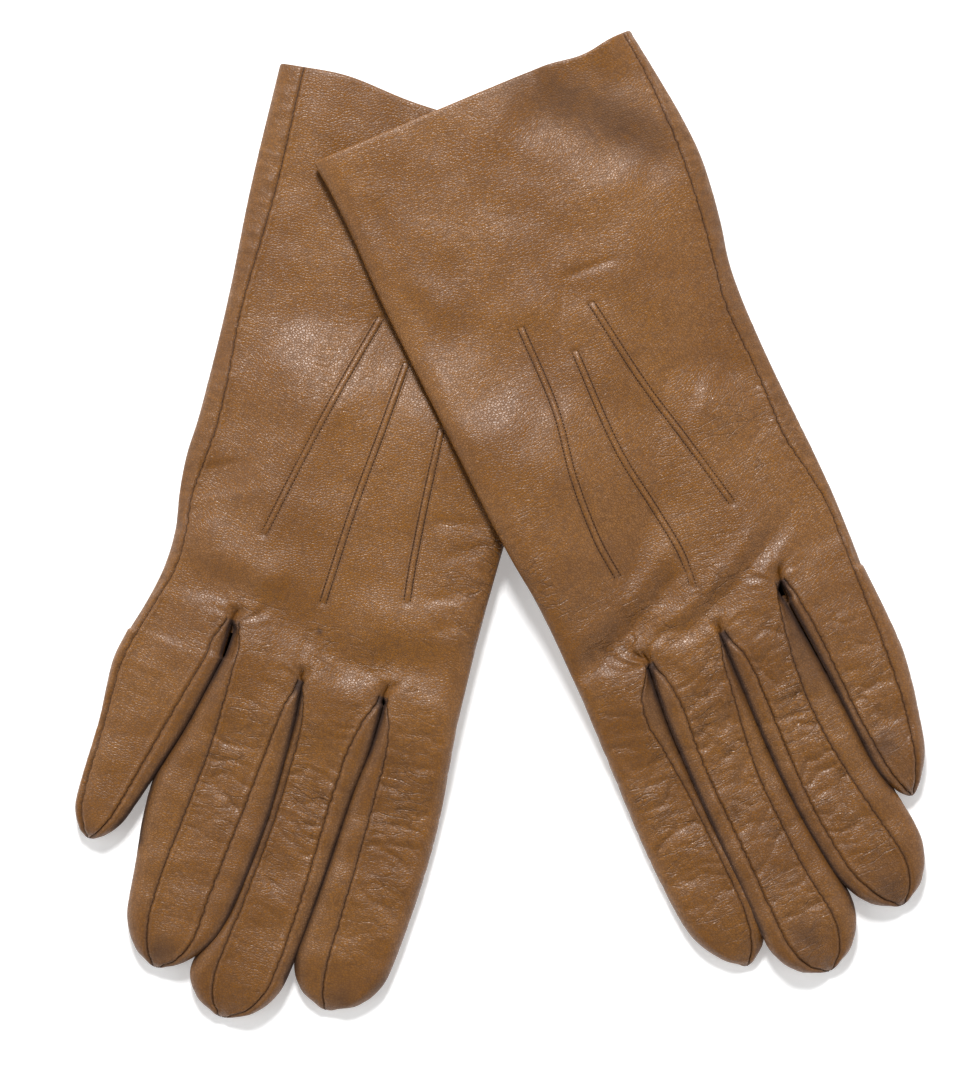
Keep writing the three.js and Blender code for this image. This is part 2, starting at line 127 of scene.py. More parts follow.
def hashed(x, y, seed):
    """A number from 0 to 1 for each cell of a square grid."""
    value = (x.astype(np.int64) * 374761393 + y.astype(np.int64) * 668265263 + seed * 974711) & 0xFFFFFFFF
    value = ((value ^ (value >> 13)) * 1274126177) & 0xFFFFFFFF
    return ((value ^ (value >> 16)) & 0xFFFFFF) / float(0x1000000)


def noise(x, y, seed):
    """Smooth noise, mostly from -1 to 1, with its bumps about one unit apart."""
    x, y = np.broadcast_arrays(np.asarray(x, float), np.asarray(y, float))
    cell_x, cell_y = np.floor(x), np.floor(y)
    in_x, in_y = x - cell_x, y - cell_y

    def corner(i, j):
        turn = 2 * math.pi * hashed(cell_x + i, cell_y + j, seed)
        return np.cos(turn) * (in_x - i) + np.sin(turn) * (in_y - j)

    low = mix(corner(0, 0), corner(1, 0), smooth(in_x))
    high = mix(corner(0, 1), corner(1, 1), smooth(in_x))
    return 1.6 * mix(low, high, smooth(in_y))


class Line:
    """A smooth curve through (along, across) points, held level beyond its ends."""

    def __init__(self, points):
        self.along, self.across = np.array(points, float).T
        self.slope = np.gradient(self.across, self.along)

    def __call__(self, along):
        i = np.clip(np.searchsorted(self.along, along) - 1, 0, len(self.along) - 2)
        span = self.along[i + 1] - self.along[i]
        t = np.clip((along - self.along[i]) / span, 0, 1)
        rise = self.across[i + 1] - self.across[i]
        bend = t * (1 - t) * ((1 - t) * self.slope[i] - t * self.slope[i + 1]) * span
        return self.across[i] + rise * smooth(t) + bend


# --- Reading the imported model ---


def edge_points(glove, names, side, row_gap, within=None):
    """The outermost points of the nodes' rows towards one side: 1 is the index side, -1 the little side."""
    meshes = [frame["nodes"][name].data for name in names]
    points = np.concatenate([np.array([v.co for v in mesh.vertices]) for mesh in meshes]) / MM
    across, along = glove.local(points[:, :2])
    if within:
        kept = (across > within[0]) & (across < within[1])
        across, along = across[kept], along[kept]
    order = np.argsort(along)
    rows = np.split(order, np.nonzero(np.diff(along[order]) > row_gap)[0] + 1)
    best = [row[np.argmax(side * across[row])] for row in rows]
    return np.column_stack([along[best], across[best]])


class Finger:
    TIP_NODE_ROWS = 4
    TIP_LAST = 0.92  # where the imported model's last row is in the rounded tip
    ROW_GAP = 0.3

    def __init__(self, glove, name):
        self.prefix = f"{glove.name}_{name}"
        self.body = f"{self.prefix}_finger"
        nodes = [n for n in frame["nodes"] if n.startswith(self.prefix) and not n.endswith("thread")]
        ends, seams = (
            [edge_points(glove, names, side, self.ROW_GAP) for side in (1, -1)]
            for names in (nodes, [f"{self.prefix}_back"])
        )
        along = ends[0][:, 0]
        self.tip_start = along[-1 - self.TIP_NODE_ROWS]
        self.tip_length = (along[-1] - self.tip_start) / self.TIP_LAST
        middle = (ends[0][:, 1] + ends[1][:, 1]) / 2
        narrowing = self.narrowing(along)
        self.high, self.low, self.index_seam, self.little_seam = (
            Line(np.column_stack([along, middle + (points[:, 1] - middle) / narrowing]))
            for points in ends + seams
        )
        self.sewn_on_index_side = name != "index"

    def narrowing(self, along):
        share = np.clip((along - self.tip_start) / self.tip_length, 0, 1)
        return np.sqrt(1 - share**2)


class Glove:
    ROW_GAP = 3
    PALM_EDGE_WITHIN = (-80, -30)

    def __init__(self, name, lower=None):
        self.name = name
        self.lower = lower
        self.hand = f"{name}_hand"
        joints = {joint["name"]: joint for joint in frame["joints"]}
        axis = np.array(joints[f"{name}_index_fold"]["axis"][:2])
        self.side = 1 if name == "left" else -1
        self.ea = axis * self.side
        self.eb = np.array([-axis[1], axis[0]])
        hole = np.array(joints[f"{name}_thumb_swing"]["pos_m"][:2]) / MM
        self.origin = hole - THUMB_HOLE[0] * self.ea - THUMB_HOLE[1] * self.eb
        root = np.array(joints[f"{name}_index_fold"]["pos_m"][:2]) / MM
        self.roots = self.local(root[None])[1][0]
        back, palm = [f"{name}_hand_back"], [f"{name}_hand_palm"]
        self.high = Line(edge_points(self, back, 1, self.ROW_GAP))
        self.side_seam = Line(edge_points(self, back, -1, self.ROW_GAP))
        self.low = Line(edge_points(self, palm, -1, self.ROW_GAP, within=self.PALM_EDGE_WITHIN))
        self.cuff_index = self.high.along[0]
        self.cuff_little = self.low.along[0]
        self.cuff = (self.cuff_index + self.cuff_little) / 2
        self.fingers = [Finger(self, finger) for finger in FINGERS]

    def local(self, points):
        flat = points - self.origin
        return flat @ self.ea, flat @ self.eb

    def table(self, across, along):
        across, along = np.broadcast_arrays(across, along)
        return self.origin + across[..., None] * self.ea + along[..., None] * self.eb

    def own_room(self, across, along):
        rise = smooth((across - THUMB_ROOM_LITTLE_SIDE) / THUMB_ROOM_RAMP)
        rise = rise * smooth((along - THUMB_ROOM_CUFF_SIDE) / THUMB_ROOM_RAMP)
        return THUMB_ROOM * rise * (1 - smooth((along - self.roots) / ROOM_FALL))

    def rest(self, across, along):
        """How high the underside lies."""
        own = self.own_room(across, along)
        lift = sum(height * bell(np.hypot(across - x, along - y), radius)
                   for x, y, radius, height in self.lifted)
        if self.lower is None:
            return own + lift
        lower = self.lower
        below_across, below_along = lower.local(self.table(across, along))
        edge = lower.high(np.clip(below_along, lower.cuff, lower.roots))
        past = np.hypot(np.maximum(below_across - edge, 0), np.maximum(lower.cuff - below_along, 0))
        top = lower.own_room(np.minimum(below_across, edge), below_along) + HAND_DEPTH + STACK_GAP
        return np.maximum(own, top * (1 - smooth((past - DRAPE_START) / DRAPE))) + lift


# --- The grid of a glove ---


def half_outline(low, high, depth, fold):
    """The upper half of a flattened tube for each row, from the index-side edge to the little-side one:
    across, height over the middle, and the share of its length so far."""
    low, high, depth = (np.asarray(v, float)[:, None] for v in (low, high, depth))
    width = high - low
    share = 0.5 * (1 - np.cos(np.linspace(0, math.pi, PROFILE_STEPS)))[None]
    across = high - width * share
    fold = np.minimum(fold, width / 2)
    from_edge = np.minimum(share, 1 - share) * width
    lift = depth / 2 * np.sqrt(1 - (1 - np.minimum(from_edge / fold, 1)) ** 2)
    lift = lift * (1 + CROWN * (4 * share * (1 - share) - 0.6) * (fold * CROWN_FROM < width))
    length = path_along_row(across, lift)
    return across, lift, length / length[:, -1:]


def path_along_row(across, up):
    steps = np.hypot(np.diff(across, axis=1), np.diff(up, axis=1))
    return np.concatenate([np.zeros((len(across), 1)), np.cumsum(steps, axis=1)], axis=1)


def gap_to(path, column):
    """How far each point is along its row from the row's point in one column."""
    return np.abs(path - path[:, column : column + 1])


def sampled(outline, shares):
    across, lift, length = outline
    return tuple(
        np.array([np.interp(shares[i], length[i], values[i]) for i in range(len(across))])
        for values in (across, lift)
    )


def share_at(outline, place):
    across, _, length = outline
    return np.array([np.interp(-place[i], -across[i], length[i]) for i in range(len(across))])


def eased(count):
    """Steps from 0 to 1 that are closer together at both ends."""
    t = np.linspace(0, 1, count + 1)
    return mix(t, 0.5 * (1 - np.cos(math.pi * t)), EASING)[None]


def seamed_half(outline, first, last, side_columns, top_columns):
    """The columns over a half outline, with one on each of its two seams: across and lift."""
    first, last = first[:, None], last[:, None]
    side, top = eased(side_columns), eased(top_columns)
    parts = [first * side[:, :-1], first + (last - first) * top[:, :-1], last + (1 - last) * side]
    return sampled(outline, np.concatenate(parts, axis=1))


def drawn_in(glove, crotch, along, edge, seam):
    """Near a crotch a seam draws in to the finger's edge."""
    share = mix(SEAMS_AT_CROTCH, 1, smooth((along - glove.crotches[crotch]) / SEAM_SPREAD))
    return mix(edge(along), seam, share)


def finger_half(glove, number, along):
    """The columns over the top of a finger: across, lift and half depth."""
    finger = glove.fingers[number]
    round_end = finger.narrowing(along)
    middle = (finger.high(along) + finger.low(along)) / 2
    tucked = glove.tucks[number] * smooth((along - finger.tip_start + TUCK_LENGTH) / TUCK_LENGTH)
    high = finger.high(along) + FINGER_OVERLAP * (number > 0)
    low = finger.low(along) - FINGER_OVERLAP * (number < 3) - tucked
    index_seam, little_seam = finger.index_seam(along), finger.little_seam(along)
    before = along < glove.roots
    if number == 0:
        high = np.where(before, glove.high(along), high)
    else:
        index_seam = drawn_in(glove, number - 1, along, finger.high, index_seam)
    if number == 3:
        low = np.where(before, glove.low(along), low)
        little_seam = np.where(before, glove.side_seam(along), little_seam)
    else:
        little_seam = drawn_in(glove, number, along, finger.low, little_seam)
    high, low, index_seam, little_seam = (
        mix(middle, line, round_end) for line in (high, low, index_seam, little_seam)
    )
    depth = FINGER_DEPTH * np.maximum(round_end, 0.02) ** TIP_FULLNESS
    outline = half_outline(low, high, depth, FINGER_FOLD * np.maximum(round_end, 0.1)[:, None])
    first = share_at(outline, index_seam) if number > 0 else np.full(len(along), NO_SEAM_SHARE)
    across, lift = seamed_half(outline, first, share_at(outline, little_seam), SIDE_COLUMNS, TOP_COLUMNS)
    return across, lift, np.repeat(depth[:, None] / 2, across.shape[1], axis=1)


def finger_tilt(glove, number, across, along):
    """Each finger leans on its neighbour: how much higher its index side lies."""
    finger = glove.fingers[number]
    tilt = glove.tilts[number] * smooth((along - glove.roots) / TILT_RAMP)
    middle = (finger.high(along) + finger.low(along)) / 2
    half = (finger.high(along) - finger.low(along)) / 2
    return tilt * (1 + np.clip((across - middle) / half, -1, 1))


def grid_quads(index):
    return np.stack([index[:-1, :-1], index[1:, :-1], index[1:, 1:], index[:-1, 1:]], axis=-1)


class Skin:
    """The grids of one glove or thumb, gathered into one mesh."""

    KEYS = ("across", "along", "up", "side", "seam", "crease", "roll", "flat", "edge", "well", "round")
    DEFAULTS = {"seam": FAR, "edge": FAR, "round": 1.0}

    def __init__(self, glove):
        self.glove = glove
        self.parts = {key: [] for key in self.KEYS}
        self.quads = []
        self.labels = []
        self.count = 0

    def grid(self, labels, **arrays):
        """Adds a grid of points. The labels name the piece that each column of faces is in."""
        shape = np.broadcast_shapes(*(np.shape(a) for a in arrays.values()))
        for key, values in self.parts.items():
            value = arrays.get(key, self.DEFAULTS.get(key, 0.0))
            values.append(np.broadcast_to(value, shape).ravel().astype(float))
        index = self.count + np.arange(shape[0] * shape[1]).reshape(shape)
        self.count += shape[0] * shape[1]
        quads = grid_quads(index)
        if (arrays["side"] < 0) != (self.glove.side < 0):
            quads = quads[..., ::-1]
        self.quads.append(quads.reshape(-1, 4))
        self.labels += labels * (shape[0] - 1)
        return index

    def close(self, upper, lower, row, label):
        """Joins the upper and lower half at one end row."""
        quads = np.stack([upper[row, :-1], lower[row, :-1], lower[row, 1:], upper[row, 1:]], axis=-1)
        self.quads.append(quads)
        self.labels += [label] * len(quads)

    def merged(self):
        """The points, their data, the faces, their labels, and each grid point's number among the points.
        The grids meet in the same places, so their points are joined there."""
        data = {key: np.concatenate(values) for key, values in self.parts.items()}
        points = np.column_stack([self.glove.table(data["across"], data["along"]), data["up"]])
        rounded = np.round(points, MERGED_DIGITS)
        _, first, joined = np.unique(rounded, axis=0, return_index=True, return_inverse=True)
        joined = joined.reshape(-1)
        data = {key: values[first] for key, values in data.items()}
        return points[first], data, joined[np.concatenate(self.quads)], np.array(self.labels), joined


def well_depth(glove, number, along, column):
    """The sunken side of a finger next to its crotch on the little side."""
    strength, length = glove.wells[number]
    fade = strength * smooth(1 - (along - glove.crotches[number]) / length)
    return smooth((column - LITTLE_SEAM + 1) / WELL_COLUMNS) * fade[:, None]


def add_finger(skin, glove, number):
    finger = glove.fingers[number]
    body_rows = int((finger.tip_start - glove.roots) / FINGER_STEP)
    tip = finger.tip_start + finger.tip_length * np.sin(np.linspace(0, math.radians(89), TIP_ROWS))
    along = np.concatenate([np.linspace(glove.roots, finger.tip_start, body_rows)[:-1], tip])
    across, lift, half = finger_half(glove, number, along)
    rise = glove.rest(across, along[:, None]) + finger_tilt(glove, number, across, along[:, None])
    path = path_along_row(across, lift)
    seam = gap_to(path, LITTLE_SEAM)
    if finger.sewn_on_index_side:
        seam = np.minimum(seam, gap_to(path, INDEX_SEAM))
    edge = np.full(path.shape, FAR)
    for neighbour, edge_column in ((number - 1, 0), (number + 1, FINGER_COLUMNS - 1)):
        if 0 <= neighbour <= 3:
            other = glove.fingers[neighbour]
            past = along - (other.tip_start + NEIGHBOUR_END * other.tip_length)
            free = FAR * smooth(past / FREE_RAMP)[:, None]
            edge = np.minimum(edge, gap_to(path, edge_column) + free)
    column = np.arange(FINGER_COLUMNS)[None]
    roll = np.sin(math.pi * np.clip(column / SIDE_COLUMNS, 0, 1)) * finger.sewn_on_index_side
    roll = roll + np.sin(math.pi * np.clip((column - LITTLE_SEAM) / SIDE_COLUMNS, 0, 1))
    from_seams = np.minimum(column - INDEX_SEAM, LITTLE_SEAM - column)
    on_back = smooth(from_seams / CREASE_COLUMNS)
    well = well_depth(glove, number, along, column) if number < 3 else 0.0
    most, least, centre, reach = glove.creasing[number]
    worked = least + (most - least) * bell(along - centre, reach)

    back, palm = f"{finger.prefix}_back", f"{finger.prefix}_palm"
    index_side = [f"{finger.prefix}_index_side" if finger.sewn_on_index_side else back] * SIDE_COLUMNS
    little_side = [f"{finger.prefix}_little_side" if number < 3 else palm] * SIDE_COLUMNS
    top, bottom = (index_side + [label] * TOP_COLUMNS + little_side for label in (back, palm))
    shared = dict(across=across, along=along[:, None], seam=seam, roll=roll, flat=lift / half, edge=edge,
                  round=finger.narrowing(along)[:, None])
    crease = mix(SIDE_CREASE, 1, on_back) * worked[:, None]
    upper = skin.grid(top, up=rise + half + lift, side=1.0, crease=crease, well=well, **shared)
    lower = skin.grid(bottom, up=rise + half - lift, side=-1.0, crease=PALM_CREASE, **shared)
    skin.close(upper, lower, -1, back)
    return upper


HEM_INSIDE = (17, 13, 9, 6, 3.5, 1.8, 0.8)  # rows of the turned edge, from the cuff
HEM_LIP = ((0.25, 0.85), (0, 0.5), (0.25, 0.15))  # rows round its lip, and their shares of its depth


def hand_rows(glove):
    """The along values of the rows, and how deep each lies under the outer surface."""
    outer = np.linspace(glove.cuff + 0.8, glove.roots, int((glove.roots - glove.cuff) / HAND_STEP))
    lip, shares = np.array(HEM_LIP).T
    along = np.concatenate([glove.cuff + np.array(HEM_INSIDE), glove.cuff + lip, outer])
    inset = np.concatenate([np.full(len(HEM_INSIDE), HEM), shares * HEM, np.zeros(len(outer))])
    return along, inset


def add_hand(skin, glove):
    along, inset = hand_rows(glove)
    bump_rows = np.maximum(along, glove.crotches.min() - 12)
    bumps, ends = (
        [np.concatenate(values, axis=1) for values in zip(*(finger_half(glove, n, rows) for n in range(4)))]
        for rows in (bump_rows, np.array([glove.roots]))
    )
    root_path = path_along_row(ends[0], ends[1])[0]
    share = root_path / root_path[-1]
    depth = np.full(len(along), HAND_DEPTH)
    outline = half_outline(glove.low(along), glove.high(along), depth, HAND_FOLD)
    seam_share = share_at(outline, glove.side_seam(along))[:, None]
    fitted = np.where(
        share[None] < share[HAND_SEAM],
        share[None] / share[HAND_SEAM] * seam_share,
        seam_share + (share[None] - share[HAND_SEAM]) / (1 - share[HAND_SEAM]) * (1 - seam_share),
    )
    flat_across, flat_lift = sampled(outline, fitted)

    # The share of the fingers' own shape in each column, from each crotch's own start.
    open_at = [smooth((along - (crotch - CROTCH_FADE)) / CROTCH_FADE) for crotch in glove.crotches]
    turn = smooth(np.linspace(0, 1, FINGER_COLUMNS))[None]
    sides = [open_at[0], *open_at, open_at[-1]]
    opened = np.concatenate([mix(sides[n][:, None], sides[n + 1][:, None], turn) for n in range(4)], axis=1)
    opened = np.maximum(opened, smooth((along - glove.roots + 1.5) / 1.5)[:, None])
    across = mix(flat_across, bumps[0], opened)
    lift = mix(flat_lift, bumps[1], opened)
    half = mix(HAND_DEPTH / 2, bumps[2], opened)

    middle = ((glove.low(along) + glove.high(along)) / 2)[:, None]
    width = (glove.high(along) - glove.low(along))[:, None]
    across = middle + (across - middle) * (1 - 2 * inset[:, None] / width)
    lift = lift * (1 - inset[:, None] / (HAND_DEPTH / 2))
    slant = mix(glove.cuff_little, glove.cuff_index, (across - middle) / width + 0.5) - glove.cuff
    bow_height, bow_across, bow_width = glove.cuff_bow
    slant = slant + bow_height * bell(across - bow_across, bow_width)
    rows = along[:, None] + slant * (1 - smooth((along[:, None] - glove.cuff) / CUFF_SLANT))

    path = path_along_row(across, lift)
    column = np.arange(path.shape[1])[None]
    seam = np.where(along[:, None] > glove.cuff, gap_to(path, HAND_SEAM), FAR)
    edge = np.full(path.shape, FAR)
    well = np.zeros(path.shape)
    for k, crotch in enumerate(glove.crotches):
        this, following = k * FINGER_COLUMNS, (k + 1) * FINGER_COLUMNS
        past = along[:, None] > crotch
        for seam_column in (this + LITTLE_SEAM, following + INDEX_SEAM):
            seam = np.where(past, np.minimum(seam, gap_to(path, seam_column)), seam)
        edge = np.where(past, np.minimum(edge, gap_to(path, following)), edge)
        sunken = well_depth(glove, k, along, column - this) * smooth((along - crotch) / WELL_START)[:, None]
        well = well + sunken * (column < following)
    seam = np.where(inset[:, None] > HEM / 2, FAR, seam)
    rise = glove.rest(across, rows)
    shared = dict(across=across, along=rows, crease=SIDE_CREASE, flat=lift / half, edge=edge)
    strip = smooth((glove.side_seam(along)[:, None] - across - 0.5) / 1.5)
    top, bottom = (
        [f"{glove.hand}_back"] * count + [f"{glove.hand}_palm"] * (path.shape[1] - 1 - count)
        for count in (HAND_SEAM, SIDE_COLUMNS)
    )
    upper = skin.grid(top, up=rise + half + lift, side=1.0, seam=seam, roll=-strip, well=well, **shared)
    skin.grid(bottom, up=rise + half - lift, side=-1.0, **shared)
    return upper, along, inset == 0


def face_normals(points, quads):
    corners = points[quads]
    return np.cross(corners[:, 2] - corners[:, 0], corners[:, 3] - corners[:, 1])


def vertex_normals(points, quads):
    faces = face_normals(points, quads)
    total = np.zeros_like(points)
    for k in range(4):
        for axis in range(3):
            total[:, axis] += np.bincount(quads[:, k], faces[:, axis], len(points))
    return total / np.maximum(np.linalg.norm(total, axis=1, keepdims=True), 1e-12)


# --- Relief ---

# The creases across a finger: seed, depth, spacing, width, and how far their rows lean.
FINGER_CREASES = (
    (40, 0.7, 5.6, 0.55, 0.0, 0.0),
    (50, 0.26, 3.7, 0.5, 0.3, 0.0),
    (60, 0.85, 10.0, 1.2, 0.0, -0.25),
)
# What runs beside a seam or sewn line: its height, its distance from the seam and its width.
SEAM_GROOVE = (-0.45, 0, 0.27)
SEAM_SWELL = (0.2, 1.0, 0.7)
SEAM_PUCKER = (0.2, 0.6, 1.3)
SEAM_WAVER = (0.26, 0, 1.4)
POINT_GROOVE = (-0.4, 0, 1.4)
SIDE_ROLL = 0.7  # how plump the strips between the fingers are
WELL = 1.7
STRIP_PUCKER = 0.4
STROKE_END = 0.25
FOLD_STRENGTH = 1.25


def stroke(across, along, points, width):
    """1 on a line through the points, falling to 0 beside it and towards its ends."""
    points = np.array(points, float)
    nearest = np.full(across.shape, 1e9)
    travelled = np.zeros(across.shape)
    lengths = np.linalg.norm(np.diff(points, axis=0), axis=1)
    so_far = np.concatenate([[0], np.cumsum(lengths)])
    for i, length in enumerate(lengths):
        way = (points[i + 1] - points[i]) / length
        offset_x, offset_y = across - points[i][0], along - points[i][1]
        t = np.clip(offset_x * way[0] + offset_y * way[1], 0, length)
        gap = np.hypot(offset_x - t * way[0], offset_y - t * way[1])
        closer = gap < nearest
        nearest = np.where(closer, gap, nearest)
        travelled = np.where(closer, so_far[i] + t, travelled)
    share = travelled / so_far[-1]
    ends = smooth(share / STROKE_END + 0.15) * smooth((1 - share) / STROKE_END + 0.15)
    return bell(nearest, width) * ends


def creases(across, along, seed, spacing, width):
    """Thin uneven valleys that run across a finger: 1 in a valley."""
    bend = 0.8 * noise(across / 13, along / 17, seed) + 0.3 * noise(across / 5, along / 8, seed + 1)
    phase = along / spacing + bend
    cell = np.floor(phase)
    away = (phase - cell - 0.5) * spacing
    strength = noise(across / 7 + 31 * hashed(cell, cell, seed), cell * 7.3, seed + 2)
    return np.clip(0.45 + 1.1 * strength, 0, 1) * np.exp(-np.abs(away) / width)


def gathers(glove, across, along):
    """Small pleats that fan out from the crotches towards the cuff."""
    total = np.zeros(across.shape)
    for k, crotch in enumerate(glove.crotches):
        centre = glove.crotch_across[k]
        reach = np.hypot(across - centre, along - crotch)
        angle = np.arctan2(across - centre, crotch - along)
        pleat = noise(angle * 3.4 + 0.15 * reach, reach / 9 + 5 * k, 77 + k)
        behind = smooth((crotch + 2 - along) / 4)
        total += glove.gather[k] * pleat * bell(reach, 11) * behind * smooth(reach / 2.5)
    return total


def relief(glove, across, along):
    """The large soft shapes of the back."""
    on_hand = smooth((glove.roots + 6 - along) / 14)
    total = 0.6 * on_hand * noise(across / 24, along / 28, 11 + glove.side)
    total += 0.32 * noise(across / 10, along / 10, 12 + glove.side)
    for points, width, height in glove.folds:
        total += FOLD_STRENGTH * height * stroke(across, along, points, width)
    total += 0.45 * (1 - on_hand) * noise(across / 12, along / 9, 15 + glove.side)
    return total + gathers(glove, across, along)


def point_gap(glove, across, along):
    """The distance to the nearest sewn line on the back of the hand."""
    nearest = np.full(across.shape, FAR)
    for line in glove.points.values():
        inside = (along > line.along[0]) & (along < line.along[-1])
        nearest = np.where(inside, np.minimum(nearest, np.abs(across - line(along))), nearest)
    return nearest


def beside(gap, most, distance, width):
    return most * bell(gap - distance, width)


def finger_share(glove, along):
    return smooth((along - glove.roots + 8) / 16)


def sculpt(glove, data, normals):
    """How far each point moves, and its distance to the nearest sewn line on the back."""
    across, along, seam = data["across"], data["along"], data["seam"]
    seam = seam + 3 * (1 - smooth(data["round"] / 0.45))
    upper = data["side"] > 0
    facing = np.clip(1.7 * data["flat"], 0, 1)
    on_finger = finger_share(glove, along)
    near_cuff = smooth((along - glove.cuff) / 6)

    fine = 0.1 * noise(across / 5.5, along / 3.4, 65 + glove.side)
    for seed, depth, spacing, width, lean_across, lean_along in FINGER_CREASES:
        leaning = across + lean_across * along, along + lean_along * across
        fine = fine - depth * creases(*leaning, seed + glove.side, spacing, width)
    fine = on_finger * data["crease"] * fine
    small = 0.3 * creases(across, along * 1.1, 70, 3.0, 0.5) * (1 - on_finger) * upper
    for region, strength in glove.wrinkled:
        fine = fine - strength * stroke(across, along, *region) * small

    fine = fine + beside(seam, *SEAM_GROOVE) + beside(seam, *SEAM_SWELL)
    pucker = noise(along / 1.6, across / 20, 21) * (data["roll"] == 0)
    fine = fine + beside(seam, *SEAM_PUCKER) * pucker * near_cuff
    fine = fine + SIDE_ROLL * np.maximum(data["roll"], 0) * data["round"] - WELL * data["well"]
    puckered = noise(across / 6, along / 2.6, 23) + 0.5 * noise(across / 3, along / 1.3, 24)
    fine = fine + np.maximum(-data["roll"], 0) * near_cuff * facing * STRIP_PUCKER * puckered
    beside_point = point_gap(glove, across, along)
    fine = fine + beside(beside_point, *POINT_GROOVE) * upper
    waver = beside(seam, *SEAM_WAVER) * noise(along / 1.25, across / 9, 27) * near_cuff
    shift = normals * fine[:, None]
    shift[:, :2] += waver[:, None] * glove.ea
    shift[:, 2] += np.where(upper, relief(glove, across, along), 0) * facing
    return shift, beside_point


# --- Meshes ---


def without_doubles(faces):
    """Faces as lists of their different corners. A face that has closed up to a line is left out."""
    corners = (list(dict.fromkeys(face)) for face in faces)
    return [face for face in corners if len(face) > 2]


def add_piece(name, points, faces, material, slot, replaced, normals=None, **attributes):
    mesh = bpy.data.meshes.new(name)
    mesh.from_pydata((points * MM).tolist(), [], without_doubles(faces.tolist()))
    mesh.update()
    mesh.polygons.foreach_set("use_smooth", np.ones(len(mesh.polygons), bool))
    for key, values in attributes.items():
        kind, field = ("FLOAT_VECTOR", "vector") if values.ndim == 2 else ("FLOAT", "value")
        made = mesh.attributes.new(key, kind, "POINT")
        made.data.foreach_set(field, values.astype(np.float32).ravel())
    if normals is not None:
        mesh.normals_split_custom_set_from_vertices(normals.tolist())
    mesh.materials.append(material)
    piece = bpy.data.objects.new(name, mesh)
    bpy.context.scene.collection.objects.link(piece)
    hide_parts(*replaced)
    return piece


FOLD_LENGTH = 22  # the length past the roots to the second of two points that move_with works out for a finger; they are not used


def move_with(piece, glove, finger=None):
    if finger is None:
        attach(piece, glove.hand)
        return
    start, end = (glove.table(0.0, b) * MM for b in (glove.roots, glove.roots + FOLD_LENGTH))
    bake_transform(piece)


# A stitch is a short needle of thread: its rings' places and thicknesses, as shares of its half length
# and radius. The kinds of stitch are their pitch, length, radius and height.
STITCH_RINGS = ((-0.75, 0.8), (0, 1.0), (0.75, 0.8))
STITCH_SIDES = 6
SEAM_STITCH = (1.35, 1.1, 0.12, 0.06)
POINT_STITCH = (1.05, 0.74, 0.16, 0.06)


def stitch_shape(length, radius, raise_by):
    """One stitch: points (along it, across it and up) and faces."""
    turns = [2 * math.pi * k / STITCH_SIDES for k in range(STITCH_SIDES)]
    points = [
        (reach * length / 2, radius * wide * math.cos(turn),
         raise_by + radius * (wide * math.sin(turn) - 0.5 * abs(reach)))
        for reach, wide in STITCH_RINGS
        for turn in turns
    ]
    first, last = len(points), len(points) + 1
    points += [(end * length / 2, 0, raise_by - radius) for end in (-1, 1)]
    index = np.arange(first).reshape(len(STITCH_RINGS), STITCH_SIDES)
    a, b = index, np.roll(index, -1, axis=1)
    faces = np.stack([a[:-1], b[:-1], b[1:], a[1:]], axis=-1).reshape(-1, 4).tolist()
    for k in range(STITCH_SIDES):
        faces += [(a[0, k], b[0, k], first, first), (b[-1, k], a[-1, k], last, last)]
    return np.array(points), np.array(faces)


def add_thread(name, lines, replaced, kind):
    """Rows of stitches, laid on lines of points and upward directions, as one piece."""
    pitch, *size = kind
    shape, shape_faces = stitch_shape(*size)
    points = []

    for line, ups in lines:
        steps = np.linalg.norm(np.diff(line, axis=0), axis=1)
        so_far = np.concatenate([[0], np.cumsum(steps)])

        def at(values, where):
            return np.array([np.interp(where, so_far, values[:, k]) for k in range(3)])

        for centre in np.arange(pitch / 2, so_far[-1], pitch):
            way = at(line, centre + pitch / 4) - at(line, centre - pitch / 4)
            if np.linalg.norm(way) < 1e-6:
                continue
            way = way / np.linalg.norm(way)
            up = at(ups, centre)
            up = up - way * (up @ way)
            up = up / np.linalg.norm(up)
            points.append(at(line, centre) + shape @ np.array([way, np.cross(way, up), up]))
    faces = np.concatenate([shape_faces + i * len(shape) for i in range(len(points))])
    points = np.concatenate(points)
    return add_piece(name, points, faces, THREAD, "thread", replaced, place=points)


# --- Materials ---


